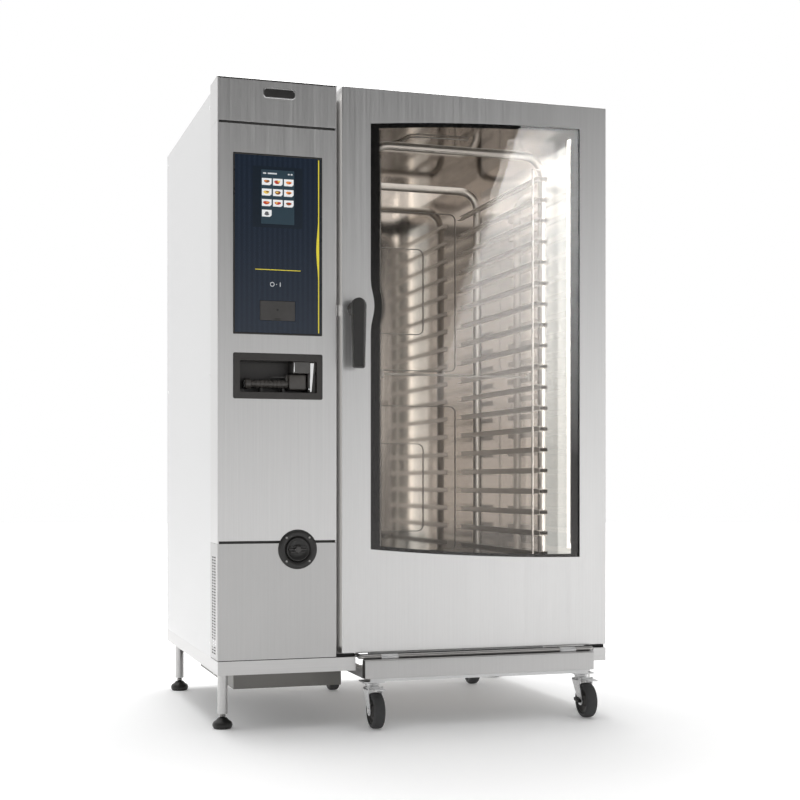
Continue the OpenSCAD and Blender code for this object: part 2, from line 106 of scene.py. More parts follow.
def quads(rows, columns, wrap_rows=False, wrap_columns=True):
    """Quad faces of a rows x columns grid: corner (i, j) joins (i, j+1), (i+1, j+1), (i+1, j)."""
    i = np.arange(rows if wrap_rows else rows - 1)
    j = np.arange(columns if wrap_columns else columns - 1)
    i, j = (a.ravel() for a in np.meshgrid(i, j, indexing="ij"))
    up, along = (i + 1) % rows, (j + 1) % columns
    return np.stack([i * columns + j, i * columns + along, up * columns + along, up * columns + j], 1)


def steer(flat, depth, axis):
    """Places outline points (a, b) and a depth so that the depth runs along x, y or z."""
    a, b = flat[..., 0], flat[..., 1]
    order = {"x": (depth, a, b), "y": (a, depth, b), "z": (a, b, depth)}[axis]
    return np.stack(np.broadcast_arrays(*order), -1)


def outward(outline):
    """Unit normals of a closed counter-clockwise outline: the mean edge direction turned right."""
    edge = np.roll(outline, -1, 0) - outline
    edge = edge / np.maximum(np.linalg.norm(edge, axis=1, keepdims=True), 1e-9)
    mean = edge + np.roll(edge, 1, 0)
    mean = mean / np.maximum(np.linalg.norm(mean, axis=1, keepdims=True), 1e-9)
    half = np.sqrt(np.clip((1 + (edge * np.roll(edge, 1, 0)).sum(1)) / 2, 0.25, 1))
    return np.stack([mean[:, 1], -mean[:, 0]], 1) / half[:, None]


def rounded(a0, a1, b0, b1, r, n=6):
    """Counter-clockwise rectangle whose corners are quarter circles of radius r in n steps."""
    turn = np.linspace(0, math.pi / 2, n + 1)
    corners = [(a1 - r, b1 - r, 0), (a0 + r, b1 - r, 1), (a0 + r, b0 + r, 2), (a1 - r, b0 + r, 3)]
    arcs = [
        np.stack([a + r * np.cos(turn + k * math.pi / 2), b + r * np.sin(turn + k * math.pi / 2)], 1)
        for a, b, k in corners
    ]
    return np.concatenate(arcs)


def disc(a, b, r, n=48):
    """n points round a circle of radius r about (a, b), counter-clockwise."""
    turn = np.arange(n) * 2 * math.pi / n
    return np.stack([a + r * np.cos(turn), b + r * np.sin(turn)], 1)


def lip(front, back, r, n=4):
    """Depths and insets of a wall whose front edge is a quarter circle of radius r.

    Row k sits at depth front + r (1 - sin t), inset r (1 - cos t), for t from 0 to 90 degrees.
    The row before the arc repeats close to it, so that the flat stays flat when it is shaded.
    """
    toward = 1.0 if back > front else -1.0
    t = np.linspace(0, math.pi / 2, n + 1)
    depth = np.concatenate([[back], [front + toward * (r + 0.2)], front + toward * r * (1 - np.sin(t))])
    inset = np.concatenate([[0.0, 0.0], r * (1 - np.cos(t))])
    return depth, inset


def turned_out(made):
    """Turns every face of a closed mesh outwards."""
    work = bmesh.new()
    work.from_mesh(made.data)
    bmesh.ops.remove_doubles(work, verts=work.verts, dist=1e-7)
    bmesh.ops.recalc_face_normals(work, faces=work.faces)
    work.to_mesh(made.data)
    work.free()
    return made


def plate(name, outline, front, back, r, axis, body, slot, material, both=False, **more):
    """A solid plate: the outline carried from back to front, its front edge rounded by r."""
    depth, inset = lip(front, back, r)
    if both:
        depth2, inset2 = lip(back, front, r)
        depth = np.concatenate([depth2[::-1][:-1], depth[1:]])
        inset = np.concatenate([inset2[::-1][:-1], inset[1:]])
    extra = 0.3
    depth = np.append(depth, depth[-1])
    inset = np.append(inset, inset[-1] + extra)
    flat = outline[None] - outward(outline)[None] * inset[:, None, None]
    grid = steer(flat, depth[:, None], axis)
    rows, n = grid.shape[:2]
    faces = list(quads(rows, n)) + [range(n), range((rows - 1) * n, rows * n)]
    made = piece(name, grid.reshape(-1, 3), faces, body, slot, material, **more)
    return turned_out(made)


def ring(name, outer, inner, front, back, r, axis, body, slot, material, **more):
    """A frame between two outlines with as many points each: outer wall, front, inner wall, back."""
    depth, inset = lip(front, back, r)
    out = outer[None] - outward(outer)[None] * inset[:, None, None]
    into = inner[None] + outward(inner)[None] * inset[::-1][:, None, None]
    depth = np.concatenate([depth, depth[-1:], depth[-1:], depth[::-1]])
    hold = 0.3
    step_out = (outer - outward(outer) * (r + hold))[None]
    step_in = (inner + outward(inner) * (r + hold))[None]
    flat = np.concatenate([out, step_out, step_in, into])
    grid = steer(flat, depth[:, None], axis)
    rows, n = grid.shape[:2]
    made = piece(
        name, grid.reshape(-1, 3), list(quads(rows, n, wrap_rows=True)), body, slot, material, **more,
    )
    return turned_out(made)


def turned(name, profile, centre, axis, body, slot, material, n=64, **more):
    """A turned part: each profile point (radius, depth) goes once round the axis through centre."""
    profile = np.asarray(profile, float)
    turn = np.arange(n) * 2 * math.pi / n
    flat = np.stack([np.cos(turn), np.sin(turn)], 1)[None] * profile[:, 0][:, None, None]
    plane = {"x": [1, 2], "y": [0, 2], "z": [0, 1]}[axis]
    centre = np.asarray(centre, float)
    along = {"x": 0, "y": 1, "z": 2}[axis]
    grid = steer(flat + centre[plane], (profile[:, 1] + centre[along])[:, None], axis)
    rows = len(profile)
    faces = list(quads(rows, n)) + [range(n), range((rows - 1) * n, rows * n)]
    made = piece(name, grid.reshape(-1, 3), faces, body, slot, material, **more)
    return turned_out(made)


def wire(name, path, r, body, slot, material, n=10, closed=False, **more):
    """A round wire: a circle of radius r carried along the path, square to it at every point.

    The circle's own axes are the path's direction crossed with up, and crossed again.
    """
    path = np.asarray(path, float)
    along = np.roll(path, -1, 0) - np.roll(path, 1, 0) if closed else np.gradient(path, axis=0)
    along /= np.linalg.norm(along, axis=1, keepdims=True)
    up = np.where(np.abs(along[:, 2:]) > 0.9, [[0.0, 1.0, 0.0]], [[0.0, 0.0, 1.0]])
    side = np.cross(along, up)
    side /= np.linalg.norm(side, axis=1, keepdims=True)
    rise = np.cross(side, along)
    turn = np.arange(n) * 2 * math.pi / n
    circle = side[:, None] * np.cos(turn)[None, :, None] + rise[:, None] * np.sin(turn)[None, :, None]
    grid = path[:, None] + r * circle
    rows = len(path)
    faces = list(quads(rows, n, wrap_rows=closed))
    if not closed:
        faces += [range(n), range((rows - 1) * n, rows * n)]
    made = piece(name, grid.reshape(-1, 3), faces, body, slot, material, **more)
    return turned_out(made)


def thickness(made, mm, offset=-1.0):
    """Gives a sheet its wall with a Solidify modifier, inwards by default."""
    wall = made.modifiers.new("wall", "SOLIDIFY")
    wall.thickness, wall.offset = mm * MM, offset
    wall.use_even_offset = True
    return made


print("a disc has", len(disc(0, 0, 1)), "points where a piece asks for no other number")

# %% [markdown]
# ## Finishes, made of a few kinds of node
# A finish reads the place on the object in metres, so its grain has the same size on every part.
# `add` makes one node and wires it; the others are the three things every finish here needs: a
# noise stretched along some direction, a number taken from it, and a colour taken from it.

# %% Node helpers


def begin(name, colour, roughness=0.5, metallic=0.0, **sockets):
    """A material and its Principled shader; extra sockets are given as coat_weight=0.3 and so on."""
    material = bpy.data.materials.new(name)
    material.use_nodes = True
    shader = material.node_tree.nodes["Principled BSDF"]
    shader.inputs["Base Color"].default_value = (*colour, 1)
    shader.inputs["Roughness"].default_value = roughness
    shader.inputs["Metallic"].default_value = metallic
    names = {s.name.lower().replace(" ", "_"): s for s in shader.inputs}
    for key, value in sockets.items():
        names[key].default_value = value
    return material, shader


def add(material, kind, sockets, **settings):
    """Adds one node: settings are its own options, sockets are numbers or other nodes' outputs."""
    made = material.node_tree.nodes.new("ShaderNode" + kind)
    for key, value in settings.items():
        setattr(made, key, value)
    for key, value in sockets.items():
        if isinstance(value, bpy.types.NodeSocket):
            material.node_tree.links.new(value, made.inputs[key])
        else:
            made.inputs[key].default_value = value
    return made


def place(material, scale, turn=(0, 0, 0)):
    """Object coordinates times scale, per metre, turned by the given degrees."""
    where = add(material, "TexCoord", {})
    angles = tuple(math.radians(a) for a in turn)
    sockets = {"Vector": where.outputs["Object"], "Scale": scale, "Rotation": angles}
    return add(material, "Mapping", sockets).outputs[0]


def noise(material, scale, detail=3.0, rough=0.6, turn=(0, 0, 0)):
    """Noise from 0 to 1, with one lump about 1 / scale metres across in each direction."""
    sockets = {"Vector": place(material, scale, turn), "Scale": 1.0, "Detail": detail, "Roughness": rough}
    return add(material, "TexNoise", sockets).outputs["Fac"]


def number(material, value, low, high, start=0.3, end=0.7):
    """Maps a pattern between start and end to a number between low and high."""
    sockets = {"Value": value, "From Min": start, "From Max": end, "To Min": low, "To Max": high}
    return add(material, "MapRange", sockets).outputs[0]


def colours(material, value, stops):
    """A colour for each value: stops are (value, colour) pairs, low to high."""
    ramp = add(material, "ValToRGB", {"Fac": value})
    elements = ramp.color_ramp.elements
    while len(elements) < len(stops):
        elements.new(0.5)
    for element, (position, colour) in zip(elements, stops):
        element.position = position
        element.color = (*colour, 1)
    return ramp.outputs["Color"]


def maths(material, operation, a, b):
    """One sum on two numbers or patterns."""
    return add(material, "Math", {0: a, 1: b}, operation=operation).outputs[0]


def relief(material, shader, height, millimetres, strength=1.0):
    """Lets a pattern raise the surface by so many millimetres, as bump."""
    sockets = {"Height": height, "Distance": millimetres * MM, "Strength": strength}
    bump = add(material, "Bump", sockets)
    material.node_tree.links.new(bump.outputs[0], shader.inputs["Normal"])


def wire_up(material, shader, **sockets):
    """Links outputs to the shader's sockets, base_color=... and so on."""
    names = {s.name.lower().replace(" ", "_"): s for s in shader.inputs}
    for key, value in sockets.items():
        material.node_tree.links.new(value, names[key])
    return material


def scaled(colour, factor):
    """A colour made lighter or darker: each part times factor."""
    return tuple(min(1.0, c * factor) for c in colour)


# %% [markdown]
# ## Stainless steel
# Sheet is brushed on a belt, so its grain is thousands of fine scratches in one direction. Noise
# stretched a few hundred times along the brushing gives them; it tints the colour a little, and
# changes the roughness more, which is what makes the soft streaks in the highlights. A second,
# broad noise stands for the faint cloudiness that handling and cleaning leave.

# %% Brushed steel


def brushed(name, colour, run, roughness, streak=0.06, lift=0.02, cloud=0.05):
    """Steel brushed along x, y or z: fine noise a hundred times longer than wide, plus clouds."""
    material, shader = begin(name, colour, roughness, metallic=1.0)
    long = {"x": 0, "y": 1, "z": 2}[run]
    fine = tuple(9.0 if i == long else 1500.0 for i in range(3))
    broad = tuple(1.6 if i == long else 160.0 for i in range(3))
    scratch = noise(material, fine, 2.0, 0.7)
    bands = noise(material, broad, 3.0, 0.6)
    hands = noise(material, (4.0, 4.0, 4.0), 3.0, 0.55)
    grain = maths(
        material,
        "ADD",
        maths(material, "MULTIPLY", scratch, 0.55),
        maths(material, "MULTIPLY", bands, 0.45),
    )
    stops = [(0.3, scaled(colour, 1 - streak)), (0.7, scaled(colour, 1 + streak))]
    both = maths(
        material,
        "ADD",
        grain,
        maths(material, "MULTIPLY", maths(material, "SUBTRACT", hands, 0.5), cloud),
    )
    rough = number(material, both, roughness * 0.86, roughness * 1.16, 0.35, 0.65)
    relief(material, shader, scratch, lift)
    return wire_up(material, shader, base_color=colours(material, grain, stops), roughness=rough)


front_steel = brushed("front_steel_brushed_upright", (0.66, 0.655, 0.65), "z", 0.36)
lower_steel = brushed("lower_steel_brushed_upright", (0.52, 0.515, 0.51), "z", 0.38)
tray_steel = brushed("tray_steel_grey", (0.20, 0.195, 0.185), "z", 0.45)
bar_steel = brushed("bar_steel_satin", (0.42, 0.41, 0.40), "x", 0.3)
side_steel = brushed("side_steel_pale", (0.735, 0.735, 0.735), "y", 0.5, streak=0.03)
cavity_steel = brushed(
    "cavity_steel_bright", (0.645, 0.612, 0.58), "z", 0.075, streak=0.015, lift=0.004, cloud=0.05,
)
frame_steel = brushed("frame_steel_satin", (0.56, 0.555, 0.55), "x", 0.33)
rack_steel = brushed("rack_steel_polished", (0.86, 0.845, 0.825), "y", 0.34, streak=0.03, lift=0.005)


# %% [markdown]
# ## Zinc, painted sheet, castings and brass
# Bright zinc dries in small crystals, so it takes its pattern from cells. The hidden sheet parts
# are painted, with the slight orange peel of sprayed paint, and the motors are sand castings.

# %% Other metals


def spangled(name, colour, roughness):
    """Plated steel: cells about 3 mm across, each a little lighter or darker and a little rougher."""
    material, shader = begin(name, colour, roughness, metallic=1.0)
    cells = add(material, "TexVoronoi", {"Vector": place(material, (340, 340, 340)), "Scale": 1.0})
    tone = add(material, "SeparateColor", {"Color": cells.outputs["Color"]}).outputs[0]
    stops = [(0.0, scaled(colour, 0.88)), (1.0, scaled(colour, 1.08))]
    relief(material, shader, noise(material, (900, 900, 900)), 0.01)
    rough = number(material, tone, roughness * 0.8, roughness * 1.3, 0, 1)
    return wire_up(material, shader, base_color=colours(material, tone, stops), roughness=rough)


def painted(name, colour, roughness, peel=0.03, grain=420.0, metallic=0.0):
    """Paint or casting skin: lumps a few millimetres across as relief, finer ones in the colour."""
    material, shader = begin(name, colour, roughness, metallic)
    lumps = noise(material, (grain, grain, grain), 3.0)
    fine = noise(material, (60, 60, 60), 5.0, 0.7)
    stops = [(0.3, scaled(colour, 0.85)), (0.7, scaled(colour, 1.15))]
    relief(material, shader, lumps, peel)
    rough = number(material, fine, roughness * 0.85, roughness * 1.2)
    return wire_up(material, shader, base_color=colours(material, fine, stops), roughness=rough)


zinc_steel = spangled("zinc_steel_plated", (0.9, 0.9, 0.9), 0.45)
dark_sheet = painted("dark_sheet_paint", (0.045, 0.043, 0.041), 0.5)
motor = painted("motor_casting", (0.32, 0.33, 0.34), 0.55, peel=0.12, grain=700.0, metallic=0.6)
brass = brushed("brass_turned", (0.80, 0.60, 0.30), "y", 0.28, streak=0.05)
chrome = brushed("chrome_trim", (0.86, 0.86, 0.86), "z", 0.12, streak=0.02, lift=0.002)

# %% [markdown]
# ## Plastics, rubber and wool
# Moulded plastic keeps the spark-eroded texture of its mould, grains of a third of a millimetre.
# Rubber is duller, and picks up pale dust where it rolls. The wool is fibre, long in two
# directions and thin in the third.

# %% Plastics and soft materials


def moulded(name, colour, roughness, texture=0.02, dust=0.12):
    """Moulded plastic or rubber: fine grain as relief, slow noise as wear in colour and gloss."""
    material, shader = begin(name, colour, roughness)
    grain = noise(material, (2800, 2800, 2800), 2.0)
    wear = noise(material, (26, 26, 26), 5.0, 0.65)
    stops = [(0.3, scaled(colour, 1 - dust)), (0.72, scaled(colour, 1 + 1.6 * dust))]
    relief(material, shader, grain, texture)
    rough = number(material, wear, roughness * 0.85, roughness * 1.18)
    return wire_up(material, shader, base_color=colours(material, wear, stops), roughness=rough)


black_plastic = moulded("black_plastic_moulded", (0.019, 0.018, 0.017), 0.42)
grey_plastic = moulded("grey_plastic_moulded", (0.055, 0.052, 0.05), 0.4)
soft_black = moulded("soft_black_silicone", (0.012, 0.012, 0.012), 0.62, texture=0.01)
tyre = moulded("tyre_rubber", (0.045, 0.045, 0.046), 0.68, texture=0.05, dust=0.25)


def fibrous(name, colour):
    """Mineral wool: fibres as noise ten times longer along the wall than through it."""
    material, shader = begin(name, colour, 0.95, sheen_weight=0.3)
    strands = noise(material, (60, 60, 900), 6.0, 0.7, turn=(20, 35, 10))
    tufts = noise(material, (90, 90, 90), 5.0, 0.7)
    both = maths(
        material,
        "ADD",
        maths(material, "MULTIPLY", strands, 0.6),
        maths(material, "MULTIPLY", tufts, 0.4),
    )
    stops = [(0.3, scaled(colour, 0.65)), (0.7, scaled(colour, 1.1))]
    relief(material, shader, both, 1.5)
    return wire_up(material, shader, base_color=colours(material, both, stops))


wool = fibrous("wool_mineral", (0.62, 0.55, 0.34))

# %% [markdown]
# ## Glass
# The door's panes let light straight through and mirror a little of the room, more towards the
# edge of the view, which is what Fresnel's law says. The touch panel is a navy sheet printed with
# fine dots in faint upright bands, under a glossy front.

# %% Clear and printed glass


def clear(name, tint, gloss):
    """A pane: a see-through tint and a mirror mixed by Fresnel's law, with faint wiping streaks."""
    material, shader = begin(name, tint, gloss)
    tree = material.node_tree
    through = add(material, "BsdfTransparent", {"Color": (*tint, 1)})
    streaks = noise(material, (3, 3, 14), 3.0, 0.6, turn=(0, 35, 0))
    mirror = add(
        material,
        "BsdfGlossy",
        {"Color": (1, 1, 1, 1), "Roughness": number(material, streaks, gloss, gloss * 2)},
    )
    edge = add(material, "Fresnel", {"IOR": 1.2})
    mix = add(material, "MixShader", {0: edge.outputs[0], 1: through.outputs[0], 2: mirror.outputs[0]})
    tree.nodes.remove(shader)
    tree.links.new(mix.outputs[0], tree.nodes["Material Output"].inputs["Surface"])
    return material


def dotted(name, colour, lighter):
    """Navy print: a mesh of dots 1.1 mm apart, from two crossed sets of bands, under faint stripes."""
    material, shader = begin(name, colour, 0.2, coat_weight=0.15, coat_roughness=0.05)
    rows = [
        add(
            material,
            "TexWave",
            {"Vector": place(material, (1, 1, 1), (0, turn, 0)), "Scale": 280.0},
            bands_direction="X",
        ).outputs["Fac"]
        for turn in (45, -45)
    ]
    dots = maths(material, "MULTIPLY", *rows)
    sockets = {"Vector": place(material, (1, 1, 1)), "Scale": 22.0, "Distortion": 0.0}
    stripes = add(material, "TexWave", sockets, bands_direction="X").outputs["Fac"]
    shade = maths(material, "MULTIPLY", dots, number(material, stripes, 0.35, 1.0, 0, 1))
    return wire_up(material, shader, base_color=colours(material, shade, [(0.1, colour), (0.9, lighter)]))


door_glass = clear("door_glass_clear", (0.945, 0.935, 0.925), 0.01)
panel_glass = dotted("panel_glass_navy", (0.008, 0.016, 0.032), (0.03, 0.05, 0.082))

# %% [markdown]
# ## Every imported part gets its finish
# The record names a material slot for each part, so one table from slot to finish dresses the
# whole frame. Three parts then take a finish of their own, because their slot's is too bright or
# too dull. The trolley's base takes the pale side steel partly as painted light, for the light that
# the base frame keeps off its side.

# %% Dress the imported parts
FINISH = {
    "front_steel": front_steel,
    "side_steel": side_steel,
    "cavity_steel": cavity_steel,
    "frame_steel": frame_steel,
    "rack_steel": rack_steel,
    "zinc_steel": zinc_steel,
    "dark_sheet": dark_sheet,
    "black_plastic": black_plastic,
    "soft_black": soft_black,
    "tyre": tyre,
    "door_glass": door_glass,
    "panel_glass": panel_glass,
    "wool": wool,
    "motor": motor,
    "brass": brass,
}
for part in frame["record"]["subparts"]:
    for holder in frame["nodes"][part["node"]].material_slots:
        holder.material = FINISH[part["material_slot"]]
OWN_FINISH = {
    "drain_box": tray_steel,
    "trolley_bar": bar_steel,
    # pale steel on the trolley's base: partly painted light, for the light the base frame keeps off its side
    "trolley_base": side_steel,
}
for name, finish in OWN_FINISH.items():
    for holder in frame["nodes"][name].material_slots:
        holder.material = finish

# %% [markdown]
# ## The control column's three panels
# Each panel is one sheet of 1.5 mm steel, cut, then folded back along both sides on a press brake
# with a radius of about 3 mm. So each is made as a grid: a line round the fold in plan, carried
# up the panel. The openings are cells left out of the grid before the sheet gets its thickness.
# The control panel also closes the ends of the two shadow gaps with short tabs.

# %% A folded sheet with openings


def kept(points, faces):
    """Drops the points that no face uses, and renumbers the faces."""
    used = np.unique(faces)
    renumber = np.full(len(points), -1)
    renumber[used] = np.arange(len(used))
    return points[used], renumber[faces]


def softened(made, mm, angle=35.0):
    """Rounds the sharp edges of a sheet with a small Bevel modifier."""
    edge = made.modifiers.new("edges", "BEVEL")
    edge.width, edge.segments = mm * MM, 2
    edge.limit_method, edge.angle_limit = "ANGLE", math.radians(angle)
    edge.harden_normals = True
    return made


def bend(a, b, r, start, n=6):
    """A quarter circle of radius r about (a, b), from the start angle in degrees, in n steps."""
    turn = np.radians(start + np.linspace(0, 90, n + 1))
    return np.stack([a + r * np.cos(turn), b + r * np.sin(turn)], 1)


FOLD = 3.0
COLUMN_W = span("control_fascia")[1][0]
FACADE_D = span("control_fascia")[1][1]
GAP_TAB = 4.0


def folded_panel(name, z0, z1, openings, vents, node, finish=front_steel):
    """One panel of the column: its plan line is left side, fold, front, fold, right side.

    The guard points just past each fold keep the shading of the flats flat.
    openings are (x0, x1, z0, z1) in the front, vents are (y0, y1, z0, z1) in the left side.
    """
    guard = FOLD + 0.25
    front = np.unique([FOLD, guard, COLUMN_W - guard, COLUMN_W - FOLD] + [x for o in openings for x in o[:2]])
    side = np.unique([FOLD, guard, FACADE_D] + [y for v in vents for y in v[:2]])
    left = np.stack([np.zeros(len(side)), side[::-1]], 1)
    right = np.array([[COLUMN_W, guard], [COLUMN_W, FACADE_D]])
    line = np.concatenate([
        left[:-1],
        bend(FOLD, FOLD, FOLD, 180),
        np.stack([front[1:-1], np.zeros(len(front) - 2)], 1),
        bend(COLUMN_W - FOLD, FOLD, FOLD, 270),
        right,
    ])
    heights = np.unique([z0, z1] + [z for o in openings + vents for z in o[2:]])
    grid = np.stack(
        np.broadcast_arrays(line[None, :, 0], line[None, :, 1], heights[:, None]), -1
    ).reshape(-1, 3)
    faces = quads(len(heights), len(line), wrap_columns=False)
    middle = grid[faces].mean(1)
    x, y, z = middle.T
    keep = np.ones(len(faces), bool)
    for a, b, low, high in openings:
        keep &= ~((x > a) & (x < b) & (z > low) & (z < high) & (y < 0.1))
    for a, b, low, high in vents:
        keep &= ~((y > a) & (y < b) & (z > low) & (z < high) & (x < 0.1))
    made = piece(name, *kept(grid, faces[keep]), "cabinet", "front_steel", finish, replaces=[node])
    return softened(thickness(made, 1.5), 0.5)


touch_low, touch_high = span("touch_frame")
bay_low, bay_high = span("spray_recess")
plug_low, plug_high = span("plug_flange")
plug_x, plug_z = (plug_low[0] + plug_high[0]) / 2, (plug_low[2] + plug_high[2]) / 2
gap_low = (span("service_panel")[1][2], span("control_fascia")[0][2])
gap_high = (span("control_fascia")[1][2], span("top_fascia")[0][2])
column_top = span("top_fascia")[1][2]
panel_foot = span("service_panel")[0][2]
BEHIND_PLUG = 36.0
TAB_FIT = 0.4
BAY = {"x": (62.0, 279.0), "z": (933.0, 1020.0), "depth": 70.0}

plug_hole = (plug_x - BEHIND_PLUG, plug_x + BEHIND_PLUG, plug_z - BEHIND_PLUG, plug_z + BEHIND_PLUG)
gap_ends = (GAP_TAB, COLUMN_W - GAP_TAB)
low_gap = (*gap_ends, gap_low[0] + TAB_FIT, gap_low[1])
high_gap = (*gap_ends, gap_high[0], gap_high[1] - TAB_FIT)

folded_panel("top_panel", gap_high[1], column_top - 2, [], [], "top_fascia")
folded_panel(
    "control_panel",
    gap_low[0] + TAB_FIT,
    gap_high[1] - TAB_FIT,
    [
        (touch_low[0] + 2, touch_high[0] - 2, touch_low[2] + 2, touch_high[2] - 2),
        (BAY["x"][0] - 3, BAY["x"][1] + 3, BAY["z"][0] - 3, BAY["z"][1] + 3),
        (*plug_hole[:2], low_gap[2], plug_hole[3]),
        low_gap,
        high_gap,
    ],
    [],
    "control_fascia",
)
louvres = [(y, y + 22, 212 + 8 * i, 215.4 + 8 * i) for i in range(34) for y in (30, 62)]
folded_panel(
    "lower_panel", panel_foot + 2.0, gap_low[0], [(*plug_hole[:3], gap_low[0])], louvres, "service_panel",
    lower_steel,
)
print("column panels from", panel_foot, "to", column_top, "with", len(louvres), "louvres")

# %% [markdown]
# ## The column's lid
# The top panel is closed by a lid, folded down behind to the roof. It is the same sheet, with a
# line in depth and height carried across.

# %% The lid


def folded_across(name, line, x0, x1, wall, body, slot, material, edge=0.5, **more):
    """A folded sheet: a line of (y, z) points carried from x0 to x1, then given its wall."""
    line = np.asarray(line, float)
    grid = np.stack(
        np.broadcast_arrays(np.array([x0, x1])[:, None], line[None, :, 0], line[None, :, 1]), -1
    ).reshape(-1, 3)
    made = piece(name, grid, quads(2, len(line), wrap_columns=False), body, slot, material, **more)
    return softened(thickness(made, wall), edge)


roof_high = span("roof_panel")[1][2]
lid_line = np.concatenate([
    [[FACADE_D, roof_high]],
    bend(FACADE_D - FOLD, column_top - FOLD, FOLD, 0),
    bend(FOLD, column_top - FOLD, FOLD, 90),
    [[0, column_top - 6]],
])
folded_across("column_lid", lid_line, 0.0, COLUMN_W, 1.5, "cabinet", "front_steel", front_steel)
print("lid meets the roof at", roof_high)

# %% [markdown]
# ## The door's outer skin
# The skin is one pressed sheet: a flat front with the window cut out, and four sides folded back.
# The window's top and bottom are long shallow arcs, and its left side swells out beside the
# handle to leave room for a hand. The grid below runs from the outer edge to the window's edge,
# with the same number of points on both, so the quads fan out cleanly at the corners.

# %% The window's outline
door_low, door_high = span("door_skin")
WINDOW = {"x": (435.0, 1077.0), "z": (465.0, 1726.0), "r": 6660.0}
SWELL = {"z": 1182.0, "half": 74.0, "deep": 11.0}


def top_arc(x):
    """Height of the window's top edge: a circle of radius r that peaks at the right corner."""
    return WINDOW["z"][1] - WINDOW["r"] + np.sqrt(WINDOW["r"] ** 2 - (WINDOW["x"][1] - x) ** 2)


def bottom_arc(x):
    """Height of the window's bottom edge: the same circle turned over."""
    return WINDOW["z"][0] + WINDOW["r"] - np.sqrt(WINDOW["r"] ** 2 - (WINDOW["x"][1] - x) ** 2)


def left_edge(z):
    """The window's left edge: straight, pushed right by a smooth cosine swell by the handle."""
    reach = np.clip(np.abs(z - SWELL["z"]) / SWELL["half"], 0, 1)
    return WINDOW["x"][0] + SWELL["deep"] * 0.5 * (1 + np.cos(math.pi * reach))


def window_outline(n_side=64, n_top=40, extra=()):
    """Counter-clockwise in x and z, from the lower left corner: bottom, right, top, left."""
    x = np.linspace(WINDOW["x"][0], WINDOW["x"][1], n_top)
    z_right = np.linspace(bottom_arc(x[-1]), top_arc(x[-1]), 24)[1:-1]
    z_left = np.unique(np.concatenate([np.linspace(bottom_arc(x[0]), top_arc(x[0]), n_side), extra]))[1:-1]
    return np.concatenate([
        np.stack([x, bottom_arc(x)], 1),
        np.stack([np.full(len(z_right), x[-1]), z_right], 1),
        np.stack([x[::-1], top_arc(x[::-1])], 1),
        np.stack([left_edge(z_left[::-1]), z_left[::-1]], 1),
    ])


# %% The skin
LATCH_SLOT = {"z": (1130.0, 1182.0), "y": (48.0, 57.0)}
SPINDLE = {"z": (1160.0, 1180.0), "part": (0.25, 0.5)}
HINGE = {"x": (1127.0, 1143.0), "y": (30.0, 46.0)}
SKIN_DEEP = span("door_skin")[1][1]
SKIN_EDGE = 2.5


def door_skin_outlines():
    """The window's outline and, point for point, the outer edge opposite it.

    Beside the window the outer point is straight across. At a corner the window's corner point
    stands opposite several outer points: those that turn the corner, and the hinge hole's edges.
    """
    marks = LATCH_SLOT["z"] + SPINDLE["z"]
    inner = window_outline(extra=marks)
    x, z = inner.T
    (x0, x1), (z0, z1) = (door_low[0], door_high[0]), (door_low[2], door_high[2])
    n_top = 40
    corners = [0, n_top - 1, n_top + 22, 2 * n_top + 21]
    sides = {0: ([1, 0], z0), 1: ([0, 1], x1), 2: ([1, 0], z1), 3: ([0, 1], x0)}
    r = SKIN_EDGE
    turns = {
        0: [(x0, inner[0, 1]), (x0, z0 + r), (x0 + r, z0), (inner[0, 0], z0)],
        1: [
            (inner[n_top - 1, 0], z0), (HINGE["x"][0], z0), (HINGE["x"][1], z0), (x1 - r, z0),
            (x1, z0 + r), (x1, inner[n_top - 1, 1]),
        ],
        2: [
            (x1, inner[corners[2], 1]), (x1, z1 - r), (x1 - r, z1), (HINGE["x"][1], z1),
            (HINGE["x"][0], z1), (inner[corners[2], 0], z1),
        ],
        3: [(inner[corners[3], 0], z1), (x0 + r, z1), (x0, z1 - r), (x0, inner[corners[3], 1])],
    }
    ins, outs = [], []
    for k, corner in enumerate(corners):
        ins += [inner[corner]] * len(turns[k])
        outs += turns[k]
        end = corners[k + 1] if k < 3 else len(inner)
        between = inner[corner + 1:end]
        ins += list(between)
        keep_x, line = sides[k]
        outs += [(px, line) if keep_x[0] else (line, pz) for px, pz in between]
    return np.array(ins), np.array(outs)


